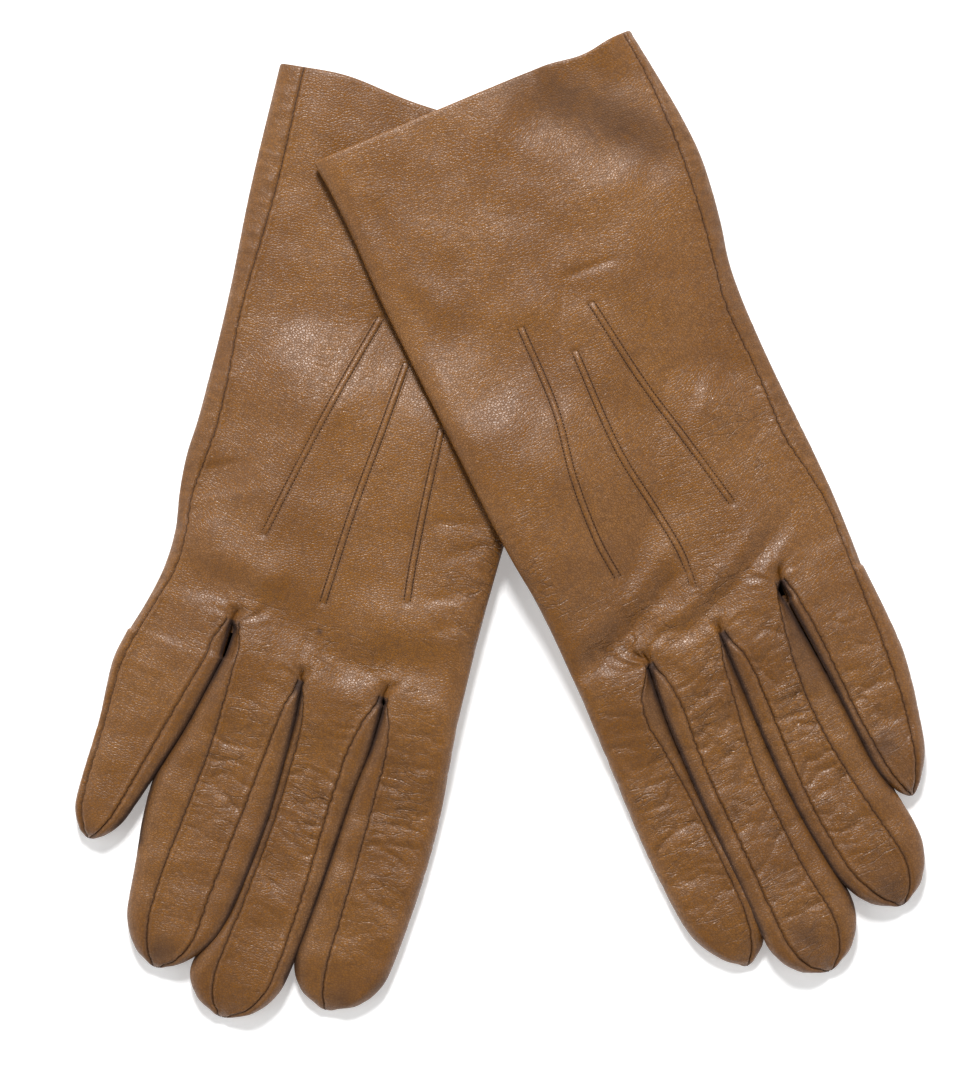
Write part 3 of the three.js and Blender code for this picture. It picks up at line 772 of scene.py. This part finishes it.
class Shader:
    """A node material with a Principled shader."""

    def __init__(self, name):
        self.material = bpy.data.materials.new(name)
        self.material.use_nodes = True
        self.tree = self.material.node_tree
        self.surface = self.tree.nodes["Principled BSDF"]

    def add(self, kind, inputs=None, **settings):
        node = self.tree.nodes.new(kind)
        for key, value in settings.items():
            setattr(node, key, value)
        for key, value in (inputs or {}).items():
            self.feed(node.inputs[key], value)
        return node

    def feed(self, socket, value):
        if isinstance(value, bpy.types.NodeSocket):
            self.tree.links.new(value, socket)
        else:
            socket.default_value = value

    def finished(self, inputs):
        for key, value in inputs.items():
            self.feed(self.surface.inputs[key], value)
        return self.material

    def read(self, name, output="Fac"):
        return self.add("ShaderNodeAttribute", attribute_name=name).outputs[output]

    def maths(self, operation, first, *others):
        for value in others:
            first = self.add("ShaderNodeMath", {0: first, 1: value}, operation=operation).outputs[0]
        return first

    def ranged(self, value, low, high, to_low=0.0, to_high=1.0):
        limits = {"Value": value, "From Min": low, "From Max": high, "To Min": to_low, "To Max": to_high}
        return self.add("ShaderNodeMapRange", limits, interpolation_type="SMOOTHSTEP").outputs["Result"]

    def noise(self, place, scale, detail=2.0, output="Fac"):
        inputs = {"Vector": place, "Scale": scale, "Detail": detail}
        return self.add("ShaderNodeTexNoise", inputs).outputs[output]

    def cell_walls(self, place, scale, width, **inputs):
        """0 on the walls between random cells, and 1 inside them."""
        inputs = {"Vector": place, "Scale": scale, **inputs}
        cells = self.add("ShaderNodeTexVoronoi", inputs, feature="DISTANCE_TO_EDGE").outputs["Distance"]
        return self.ranged(cells, 0.0, width)

    def blended(self, share, first, second):
        return self.add("ShaderNodeMix", {0: share, 6: first, 7: second}, data_type="RGBA").outputs[2]

    def vector(self, operation, place, by):
        return self.add("ShaderNodeVectorMath", {0: place, 1: by}, operation=operation).outputs[0]

    def bump(self, height, distance):
        inputs = {"Height": height, "Distance": distance, "Strength": 1.0}
        return self.add("ShaderNodeBump", inputs).outputs[0]


LEATHER_BASE = (0.176, 0.0685, 0.0110, 1)
LEATHER_DEEP = (0.070, 0.025, 0.004, 1)
# Dirt, and painted shade in seams, gaps, wells, crotches and a cuff's dent, mixed in where "dark" says.
DIRT_AND_PAINTED_SHADE = (0.035, 0.014, 0.006, 1)
WARP = (5.0, 4.0, 4.0)
WRINKLES = ((0.075, 0.34, 0.3), 0.065)  # how much their pattern is scaled, and their width
SMALL_WRINKLES = ((0.22, 0.80, 0.8), 0.11)
HEIGHTS = {"wrinkles": 0.14, "small": 0.06, "grain": 0.044, "pores": 0.046}


def leather_material(name, light, roughness):
    """Glove leather: fine pebbled grain, thin wrinkles where "crease" says with painted shade in their
    valleys, and dirt and painted shade where "dark" says.
    """
    shader = Shader(name)
    place, crease, dark = shader.read("place", "Vector"), shader.read("crease"), shader.read("dark")
    warp = shader.vector("MULTIPLY", shader.noise(place, 0.12, output="Color"), WARP)
    bent = shader.vector("ADD", place, warp)

    wrinkles, small_wrinkles = (
        shader.cell_walls(shader.vector("MULTIPLY", bent, stretch), 1.0, width)
        for stretch, width in (WRINKLES, SMALL_WRINKLES)
    )
    grain_place = shader.vector("MULTIPLY", place, (1.0, 1.15, 1.0))
    grain = shader.cell_walls(grain_place, 1.15, 0.22, Randomness=0.95)
    pores = shader.noise(place, 3.4)
    patches = shader.noise(place, 0.045, 3.0)
    mottle = shader.noise(place, 0.5, 3.0)
    worn = shader.noise(place, 0.09)

    amount = shader.maths("MULTIPLY", crease, shader.ranged(worn, 0.38, 0.62, 0.1, 1.0))
    height = shader.maths(
        "ADD",
        shader.maths("MULTIPLY", wrinkles, amount, HEIGHTS["wrinkles"]),
        shader.maths("MULTIPLY", small_wrinkles, amount, HEIGHTS["small"]),
        shader.maths("MULTIPLY", grain, HEIGHTS["grain"]),
        shader.maths("MULTIPLY", pores, HEIGHTS["pores"]),
    )

    valleys = shader.maths("SUBTRACT", 1.0, grain)
    # Painted shade in the valleys of the wrinkles.
    crease_shade = shader.maths("SUBTRACT", 1.0, shader.maths("MULTIPLY", wrinkles, small_wrinkles))
    colour = shader.blended(shader.ranged(patches, 0.3, 0.7), LEATHER_BASE, light)
    for share, over in (
        (shader.ranged(mottle, 0.35, 0.75, 0.0, 0.35), LEATHER_DEEP),
        (shader.maths("MULTIPLY", valleys, 0.5), LEATHER_DEEP),
        (shader.maths("MULTIPLY", crease_shade, amount, 0.55), LEATHER_DEEP),
        # dirt and painted shade
        (dark, DIRT_AND_PAINTED_SHADE),
    ):
        colour = shader.blended(share, colour, over)
    rough = shader.maths(
        "ADD",
        shader.maths("MULTIPLY", valleys, 0.16),
        roughness,
        shader.ranged(mottle, 0.3, 0.7, -0.05, 0.07),
        shader.maths("MULTIPLY", dark, 0.4),
    )
    return shader.finished({"Base Color": colour, "Roughness": rough, "Normal": shader.bump(height, MM),
                            "Specular IOR Level": 0.45})


def thread_material():
    shader = Shader("thread")
    inputs = {"Vector": shader.read("place", "Vector"), "Scale": 2.2, "Distortion": 1.5}
    twist = shader.add("ShaderNodeTexWave", inputs, bands_direction="DIAGONAL").outputs["Fac"]
    colour = shader.blended(twist, (0.022, 0.009, 0.004, 1), (0.060, 0.025, 0.010, 1))
    return shader.finished({"Base Color": colour, "Roughness": 0.8, "Normal": shader.bump(twist, 0.05 * MM),
                            "Specular IOR Level": 0.2})


def paper_material(name):
    """Pale paper. Its glow keeps it pale where the lamps don't reach, as in a light tent."""
    shader = Shader(name)
    place = shader.add("ShaderNodeTexCoord").outputs["Object"]
    fibres = shader.noise(place, 240.0, 3.0)
    colour = shader.blended(fibres, (0.88, 0.88, 0.88, 1), (0.91, 0.91, 0.91, 1))
    return shader.finished({"Base Color": colour, "Roughness": 0.9, "Normal": shader.bump(fibres, 0.04 * MM),
                            "Emission Color": (1, 1, 1, 1), "Emission Strength": 0.3})


LEATHER = leather_material("leather", (0.222, 0.091, 0.0165, 1), 0.31)
FOURCHETTE = leather_material("fourchette_leather", (0.214, 0.088, 0.0165, 1), 0.33)
THREAD = thread_material()


# --- Building a glove ---

# The patterns of the gloves, thumbs and collars are read far apart.
GLOVE_SHIFT = 1000.0
THUMB_SHIFT = 300
COLLAR_SHIFT = 400


def leather_looks(glove, across, along, up, crease, dark):
    """What the leather's material reads. Its pattern is read in the glove's own plane."""
    place = np.column_stack([across + GLOVE_SHIFT * (glove.side > 0), along, up])
    return {"place": place, "crease": np.broadcast_to(crease, dark.shape), "dark": dark}


# How dark the leather is painted as shade beside a seam, gap, well, sewn line or crotch, and on the side
# strip: strength, distance and width.
SEAM_SHADE = (0.74, 0, 0.17)
SEAM_SHADE_WIDE = (0.08, 0, 0.8)
GAP_SHADE = (1, 0, 0.75)
GAP_SHADE_WIDE = (0.3, 0, 2.2)
WELL_SHADE = (0.6, 0, 2.6)
POINT_FOOT_SHADE = (0.22, 0, 1.3)
CROTCH_SHADE = (0.5, 0, 1.8)
STRIP_SHADE = 0.12
THUMB_SEAM_SHADE = (0.8, 0, 0.35)
COLLAR_SHADE = (0.3, 0, 0.5)


def darkness(glove, data, beside_point):
    """Dirt and painted shade: painted shade in the seams and gaps, in the wells, beside the sewn lines, on
    the side strip and at the crotches; spots of dirt and of painted shade.
    """
    across, along, edge = data["across"], data["along"], data["edge"]
    upper = data["side"] > 0
    seen = smooth(data["round"] / 0.35)
    # Painted shade along the seams.
    total = seen * (beside(data["seam"], *SEAM_SHADE) + beside(data["seam"], *SEAM_SHADE_WIDE))
    # Painted shade on a finger's side where it meets its neighbour.
    from_gap = edge - GAP_HIDDEN
    touching = smooth((data["round"] - 0.8) / 0.19) * upper * bell(np.minimum(from_gap, 0), 1.1)
    from_gap = np.maximum(from_gap, 0)
    total = total + touching * (beside(from_gap, *GAP_SHADE) + beside(from_gap, *GAP_SHADE_WIDE))
    # Painted shade on the strip by the hand's side seam, in the sunken wells and at the foot of the sewn
    # lines.
    total = total + STRIP_SHADE * np.maximum(-data["roll"], 0)
    total = total + data["well"] * (0.4 + beside(edge, *WELL_SHADE))
    total = total + beside(beside_point, *POINT_FOOT_SHADE) * upper
    # Spots: dirt near the fingertips, painted shade in the upper cuff's dent.
    for (x, y), radius, strength in glove.smudges:
        ragged = radius * (1 + 0.35 * noise(across / 2.5, along / 2.5, 31))
        total = total + strength * bell(np.hypot(across - x, along - y), ragged) * upper
    # Painted shade in the crotches.
    for x, crotch in zip(glove.crotch_across, glove.crotches):
        total = total + beside(np.hypot(across - x, along - crotch - 1), *CROTCH_SHADE)
    return np.clip(total, 0, 1)


def crease_strength(glove, data):
    across, along = data["across"], data["along"]
    on_hand = 0.2 + 0.14 * noise(across / 20, along / 20, 33)
    for region, strength in glove.wrinkled:
        on_hand = on_hand + strength * stroke(across, along, *region)
    return np.clip(mix(on_hand, data["crease"], finger_share(glove, along)), 0, 1)


def add_leather(label, points, faces, normals, looks):
    """One leather piece of a skin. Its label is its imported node's name, less the word fourchette."""
    is_side = label.endswith("_side")
    node = f"{label}_fourchette" if is_side else label
    material, slot = (FOURCHETTE, "fourchette_leather") if is_side else (LEATHER, "glove_leather")
    kept, numbered = np.unique(faces, return_inverse=True)
    looks = {key: values[kept] for key, values in looks.items()}
    return add_piece(f"{node}_leather", points[kept], numbered.reshape(faces.shape), material, slot,
                     [node], normals[kept], **looks)


def build_skin(glove):
    """Adds the leather of a glove's hand and fingers and its seams. Returns its surface for looking up."""
    skin = Skin(glove)
    finger_grids = [add_finger(skin, glove, number) for number in range(4)]
    hand_grid, hand_along, outer = add_hand(skin, glove)
    points, data, quads, labels, joined = skin.merged()
    shift, beside_point = sculpt(glove, data, vertex_normals(points, quads))
    points = points + shift
    points[:, 2] = np.maximum(points[:, 2], TABLE_GAP)
    normals = vertex_normals(points, quads)
    looks = leather_looks(glove, data["across"], data["along"], data["up"],
                          crease_strength(glove, data), darkness(glove, data, beside_point))
    for label in dict.fromkeys(skin.labels):
        finger = next((f for f in glove.fingers if label.startswith(f.prefix)), None)
        move_with(add_leather(label, points, quads[labels == label], normals, looks), glove, finger)

    def column(grid, number, rows=slice(None)):
        chosen = joined[grid[rows, number]]
        return np.stack([points[chosen], normals[chosen]])

    def add_seam(seam, line, finger=None):
        move_with(add_thread(f"{seam}_stitches", [line], [f"{seam}_thread"], SEAM_STITCH), glove, finger)

    add_seam(f"{glove.name}_side_seam", column(hand_grid, HAND_SEAM, outer))
    for n, finger in enumerate(glove.fingers):
        for where, number, crotch in (("index", INDEX_SEAM, n - 1), ("little", LITTLE_SEAM, n)):
            if crotch < 0:
                continue
            line = column(finger_grids[n], number)
            if crotch < 3:
                before = (hand_along > glove.crotches[crotch]) & outer
                start = column(hand_grid, n * FINGER_COLUMNS + number, before)
                line = np.concatenate([start[:, :-1], line], axis=1)
            add_seam(f"{finger.prefix}_{where}_side", line, finger)
    return BVHTree.FromPolygons(points.tolist(), quads.tolist())


# The raised lines on the back: a ridge between two sunken rows of stitches.
POINT_PROFILE = np.array([
    (-2.0, -0.5), (-1.55, -0.06), (-1.2, -0.06), (-0.95, -0.26), (-0.74, -0.08), (-0.45, 0.1), (-0.15, 0.17),
    (0.15, 0.17), (0.45, 0.1), (0.74, -0.08), (0.95, -0.26), (1.2, -0.06), (1.55, -0.06), (2.0, -0.5),
])
POINT_ROW = 0.95  # from the middle to a row of stitches
POINT_ROW_DEPTH = 0.2
POINT_SHADE = (0.9, POINT_ROW, 0.2)
POINT_CREASE = 0.1
POINT_STEP = 0.5
POINT_REACH = 2.6  # its ridge stands on the leather as it lies this far to each side
POINT_END = 2.5
POINT_END_DEPTH = 0.35
ABOVE_ALL = 80.0


def add_point(glove, name, line, tree):
    along = np.arange(line.along[0], line.along[-1], POINT_STEP)
    centre = glove.table(line(along), along)
    way = np.gradient(centre, axis=0)
    way = way / np.linalg.norm(way, axis=1, keepdims=True)
    sideways = np.column_stack([-way[:, 1], way[:, 0]])

    def surface(offset):
        flat = centre + offset * sideways
        return np.array([tree.ray_cast((x, y, ABOVE_ALL), (0, 0, -1))[0].z for x, y in flat])

    low, high = surface(-POINT_REACH), surface(POINT_REACH)
    ends = np.minimum(smooth((along - along[0]) / POINT_END), smooth((along[-1] - along) / POINT_END))

    def at(offset, height):
        base = mix(low, high, (offset / POINT_REACH + 1) / 2)
        up = base + height * ends - POINT_END_DEPTH * (1 - ends)
        return np.column_stack([centre + offset * sideways, up])

    grid = np.array([at(offset, height) for offset, height in POINT_PROFILE])
    columns, rows = grid.shape[:2]
    faces = grid_quads(np.arange(columns * rows).reshape(columns, rows)).reshape(-1, 4)
    points = grid.reshape(-1, 3)
    if face_normals(points, faces)[:, 2].mean() < 0:
        faces = faces[:, ::-1]
    offsets = np.repeat(POINT_PROFILE[:, 0], rows)
    looks = leather_looks(glove, *glove.local(points[:, :2]), points[:, 2], POINT_CREASE,
                          beside(np.abs(offsets), *POINT_SHADE))
    node = f"{glove.name}_point_{name}"
    ridge = add_piece(f"{node}_ridge", points, faces, LEATHER, "thread", [node],
                      vertex_normals(points, faces), **looks)
    move_with(ridge, glove)
    upright = np.tile([0.0, 0.0, 1.0], (rows, 1))
    stitch_rows = [(at(offset, -POINT_ROW_DEPTH), upright) for offset in (-POINT_ROW, POINT_ROW)]
    move_with(add_thread(f"{node}_stitches", stitch_rows, [], POINT_STITCH), glove)


# The thumb lies flat under the palm. Its own along values run from the hole's centre to the tip.
THUMB_LEAN = math.radians(15)
THUMB_LENGTH = 55
THUMB_BEHIND = 13
THUMB_END = 13
THUMB_END_ROWS = 14
THUMB_ROWS = 80
THUMB_HALF_WIDTHS = (12.5, 10)
THUMB_DEPTH = 3.4
THUMB_FOLD = 3.0
THUMB_SEAM = 1.4  # from the edge
THUMB_CREASE = 0.8
THUMB_SIDE_COLUMNS = 4
THUMB_TOP_COLUMNS = 26
THUMB_SEAMS = (THUMB_SIDE_COLUMNS, THUMB_SIDE_COLUMNS + THUMB_TOP_COLUMNS)
COLLAR_RADIUS = 9.6
COLLAR_SIDES = 96
COLLAR_ROWS = 9


def thumb_rows():
    """The along values of a thumb's rows, and how wide and deep it is at each, as shares."""
    turns = np.radians(np.linspace(0, 89, THUMB_END_ROWS))
    back_end, front_start = THUMB_END - THUMB_BEHIND, THUMB_LENGTH - THUMB_END
    along = np.concatenate([
        back_end - THUMB_END * np.sin(turns[::-1]),
        np.linspace(back_end, front_start, THUMB_ROWS)[1:-1],
        front_start + THUMB_END * np.sin(turns),
    ])
    past = np.maximum(np.maximum(back_end - along, along - front_start), 0) / THUMB_END
    return along, np.sqrt(1 - past**2)


def add_thumb(glove):
    along, rounding = thumb_rows()
    half_width = mix(*THUMB_HALF_WIDTHS, np.clip(along / THUMB_LENGTH, 0, 1)) * rounding
    depth = THUMB_DEPTH * np.maximum(rounding, 0.05) ** TIP_FULLNESS
    outline = half_outline(-half_width, half_width, depth, THUMB_FOLD * np.maximum(rounding, 0.1)[:, None])
    inset = np.minimum(THUMB_SEAM, 0.3 * half_width)
    first, last = share_at(outline, half_width - inset), share_at(outline, inset - half_width)
    x, lift = seamed_half(outline, first, last, THUMB_SIDE_COLUMNS, THUMB_TOP_COLUMNS)
    y = along[:, None]
    across = THUMB_HOLE[0] + x * math.cos(THUMB_LEAN) - y * math.sin(THUMB_LEAN)
    on_hand = THUMB_HOLE[1] + x * math.sin(THUMB_LEAN) + y * math.cos(THUMB_LEAN)

    skin = Skin(glove)
    body = f"{glove.name}_thumb"
    inner, outer = f"{body}_inner", f"{body}_outer"
    half = depth[:, None] / 2
    path = path_along_row(x, lift)
    seam = np.minimum(*(gap_to(path, column) for column in THUMB_SEAMS))
    shared = dict(across=across, along=on_hand, crease=THUMB_CREASE, flat=lift / half)
    edge_labels = [outer] * THUMB_SIDE_COLUMNS
    top = edge_labels + [inner] * THUMB_TOP_COLUMNS + edge_labels
    upper = skin.grid(top, up=half + lift, side=1.0, seam=seam, **shared)
    lower = skin.grid([outer] * len(top), up=half - lift, side=-1.0, **shared)
    for row in (0, -1):
        skin.close(upper, lower, row, outer)
    points, data, quads, labels, joined = skin.merged()
    fine = -0.25 * creases(data["across"], data["along"], 90, 4.0, 0.6) - 0.3 * bell(data["seam"], 0.5)
    points = points + vertex_normals(points, quads) * fine[:, None]
    points[:, 2] = np.maximum(points[:, 2], TABLE_GAP)
    normals = vertex_normals(points, quads)
    looks = leather_looks(glove, data["across"] + THUMB_SHIFT, data["along"], data["up"],
                          data["crease"], beside(data["seam"], *THUMB_SEAM_SHADE))
    for label in (inner, outer):
        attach(add_leather(label, points, quads[labels == label], normals, looks), body)
    line = joined[upper[:, THUMB_SEAMS[0]]]
    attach(add_thread(f"{body}_stitches", [(points[line], normals[line])], [], SEAM_STITCH), body)
    add_collar(glove, body)


def add_collar(glove, body):
    """The short tube that joins the thumb to its hole in the palm."""
    top = float(glove.rest(*(np.array(float(v)) for v in THUMB_HOLE))) + 0.4
    levels = np.linspace(THUMB_DEPTH * 0.8, top, COLLAR_ROWS)
    angles = np.linspace(0, 2 * math.pi, COLLAR_SIDES + 1)[:-1]
    height, angle = np.meshgrid(levels, angles, indexing="ij")
    bulge = 0.35 * np.sin(math.pi * (height - levels[0]) / (levels[-1] - levels[0]))
    radius = COLLAR_RADIUS + bulge + 0.18 * noise(angle * 7, height * 1.5, 95)
    across, along = THUMB_HOLE[0] + radius * np.cos(angle), THUMB_HOLE[1] + radius * np.sin(angle)
    index = np.arange(height.size).reshape(height.shape)
    following = np.roll(index, -1, axis=1)
    faces = np.stack([index[:-1], following[:-1], following[1:], index[1:]], axis=-1).reshape(-1, 4)
    if glove.side < 0:
        faces = faces[:, ::-1]
    across, along, height = across.ravel(), along.ravel(), height.ravel()
    points = np.column_stack([glove.table(across, along), height])
    looks = leather_looks(glove, across + COLLAR_SHIFT, along, height, THUMB_CREASE,
                          beside(height - levels[-1], *COLLAR_SHADE))
    piece = add_piece(f"{body}_collar_leather", points, faces, LEATHER, "glove_leather", [],
                      vertex_normals(points, faces), **looks)
    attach(piece, body)


right = Glove("right")
left = Glove("left", lower=right)

# For each crotch, from the index side: where it is, and how strongly the leather is gathered behind it.
right.crotches = np.array([0.2, 3.0, -8.4])
right.crotch_across = (27, 3, -19.7)
right.gather = (0.3, 0.35, 0.5)
left.crotches = np.array([4.1, 5.4, -1.5])
left.crotch_across = (23.1, 0, -20.6)
left.gather = (0.9, 0.45, 0.5)

# For each finger, from the index: its lean, how far its tip reaches under the next one, its creasing
# (most, least, where and over what length), and for the first three their wells' strength and length.
right.tilts = (0.0, 0.3, 0.9, 0.5)
right.tucks = (0.0, 0.0, 0.0, 0.0)
right.creasing = ((0.9, 0.25, 34, 24), (0.9, 0.3, 36, 26), (0.7, 0.25, 32, 24), (0.15, 0.1, 20, 20))
right.wells = ((0.9, 24), (0.9, 26), (0.9, 30))
left.tilts = (0.0, 1.0, 0.9, 0.8)
left.tucks = (3.2, 0.0, 0.0, 0.0)
left.creasing = ((0.9, 0.5, 40, 30), (1.0, 0.6, 45, 35), (1.0, 0.6, 40, 35), (0.7, 0.35, 40, 30))
left.wells = ((1.0, 36), (0.8, 30), (1.3, 52))

# The cuff: its bow's height, place and width, and bumps it is lifted by (place, radius and height).
right.cuff_bow = (-2.2, -34, 15)
right.lifted = []
left.cuff_bow = (1.6, -34, 8)
left.lifted = [(-52, -167, 19, 4.5)]

# Soft ridges and valleys of the back: a line's points, its width and its height.
right.folds = [
    ([(-40, -20), (-21, -17), (-8, -14.5), (5, -10), (15.6, -6), (35, -10), (49, -11)], 6.5, -1.3),
    ([(10, -24), (25, -20), (40, -24), (49, -27)], 7.5, 0.9),
    ([(-40, -36), (-31, -27), (-22, -24), (-8, -21)], 5.5, 0.9),
    ([(-38, -52), (-33, -42)], 8, -0.5),
    ([(-33, -89), (-16, -82), (-4, -71)], 12, 0.6),
    ([(26, -52), (43, -55)], 2, -0.35),
    ([(32, -42), (46, -51)], 2, -0.35),
    ([(30, -29), (46, -37)], 2, -0.3),
    ([(35, -22), (47, -27)], 2, -0.3),
    ([(-39.6, 14), (-38, 1)], 5, 0.5),
]
left.folds = [
    ([(-8, -159), (-21, -145), (-35, -132), (-47, -119)], 8, -1.6),
    ([(-20, -173), (-34, -170), (-48, -168)], 11, 2.6),
    ([(38, -154), (44, -125), (38, -106)], 4, -0.5),
    ([(32, -150), (37, -125), (33, -106)], 5, 0.4),
    ([(-1, -107), (-19, -105.5)], 1.2, -0.3),
    ([(46, -1), (28, -5), (13, -11), (3, -19)], 3.5, -1.1),
    ([(44, -10), (26, -13), (10, -19), (0, -27)], 4, 0.8),
    ([(22, 1), (9, 0.7), (-7, -5), (-23, -13), (-36, -20)], 3.5, -1.0),
    ([(20, -5), (6, -5), (-9, -11), (-25, -19)], 3.5, 0.7),
    ([(14, -104), (3, -99)], 5, 0.5),
    ([(-20, -60), (-36, -46)], 7, 0.7),
    ([(-31, -64), (-41, -52)], 4, -0.5),
]

# Where the hand is finely wrinkled: a line's points and width, and the strength.
right.wrinkled = [
    (([(44, -60), (46, -15)], 13), 0.7),
    (([(-30, -12), (0, -6), (45, -4)], 8), 0.6),
    (([(-20, -90), (-10, -70)], 14), 0.25),
]
left.wrinkled = [
    (([(40, 0), (20, -6), (0, -10), (-25, -20)], 12), 0.7),
    (([(-40, -60), (-30, -20)], 12), 0.45),
    (([(45, -60), (45, -5)], 9), 0.6),
    (([(0, -60), (0, -30)], 25), 0.2),
]

# Darker spots: place, radius and strength. Those near the fingertips are dirt; the left glove's first four
# are painted shade in the dent below its cuff's edge.
right.smudges = [
    ((-13.8, 89.4), 4, 0.45), ((40.4, 88.4), 4, 0.4), ((51, 81), 3.5, 0.35),
    ((4.5, -12.5), 0.7, 0.8), ((-31.8, -42), 3, 0.12),
]
left.smudges = [
    # painted shade in the dent below the cuff's edge
    ((-13, -164), 7, 0.22), ((-23, -154), 8, 0.4), ((-34, -143), 9, 0.45), ((-42, -132), 8, 0.32),
    ((-28.2, 55), 3.5, 0.55), ((16.3, 94.9), 4, 0.5), ((-11.6, 93.6), 4.5, 0.45),
]

POINT_NODE_GAP = 0.6
for glove in (right, left):
    glove.points = {}
    for name in ("index_side", "middle", "little_side"):
        node = [f"{glove.name}_point_{name}"]
        ends = [edge_points(glove, node, side, POINT_NODE_GAP) for side in (1, -1)]
        glove.points[name] = Line((ends[0] + ends[1]) / 2)
    tree = build_skin(glove)
    for name, line in glove.points.items():
        add_point(glove, name, line, tree)
    add_thumb(glove)


# --- Floor, light and camera, in metres where not said otherwise ---

BACKDROP_RADIUS = 2.3
BACKDROP_HEIGHT = 1.3
LAMPS = {  # place, size and watts
    "key": ((-0.10, 0.86, 1.0), 0.30, 22),
    "left_fill": ((-0.95, -0.10, 1.0), 0.9, 3.2),
    "right_fill": ((0.95, -0.25, 1.0), 0.9, 2.8),
}
WORLD_LIGHT = 0.12
VIEW_CENTRE = (-2.93, -3.5, 7.0)  # millimetres, as are the next three
VIEW_HEIGHT = 311.2
VIEW_DISTANCE = 1400
SENSOR = 36.0


def add_stage(name):
    thing = bpy.context.object
    thing.name = name
    thing.data.materials.append(paper_material(f"{name}_paper"))


bpy.ops.mesh.primitive_plane_add(size=2 * BACKDROP_RADIUS, location=(0, 0, -0.0001))
add_stage("floor")
bpy.ops.mesh.primitive_cylinder_add(vertices=128, radius=BACKDROP_RADIUS, depth=BACKDROP_HEIGHT,
                                    end_fill_type="NOTHING", location=(0, 0, BACKDROP_HEIGHT / 2))
add_stage("backdrop")

for name, (place, size, watts) in LAMPS.items():
    light = bpy.data.lights.new(name, "AREA")
    light.shape = "DISK"
    light.size = size
    light.energy = watts
    lamp = bpy.data.objects.new(name, light)
    lamp.location = place
    lamp.rotation_euler = (-lamp.location).to_track_quat("-Z", "Y").to_euler()
    bpy.context.scene.collection.objects.link(lamp)

world = bpy.data.worlds.new("studio")
bpy.context.scene.world = world
world.use_nodes = True
background = world.node_tree.nodes["Background"]
background.inputs["Color"].default_value = (1, 1, 1, 1)
background.inputs["Strength"].default_value = WORLD_LIGHT
bpy.context.scene.view_settings.view_transform = "Standard"

camera_data = bpy.data.cameras.new("camera")
camera_data.sensor_width = SENSOR
camera_data.lens = SENSOR * VIEW_DISTANCE / VIEW_HEIGHT
camera = bpy.data.objects.new("camera", camera_data)
camera.location = (VIEW_CENTRE[0] * MM, VIEW_CENTRE[1] * MM, (VIEW_CENTRE[2] + VIEW_DISTANCE) * MM)
bpy.context.scene.collection.objects.link(camera)
bpy.context.scene.camera = camera
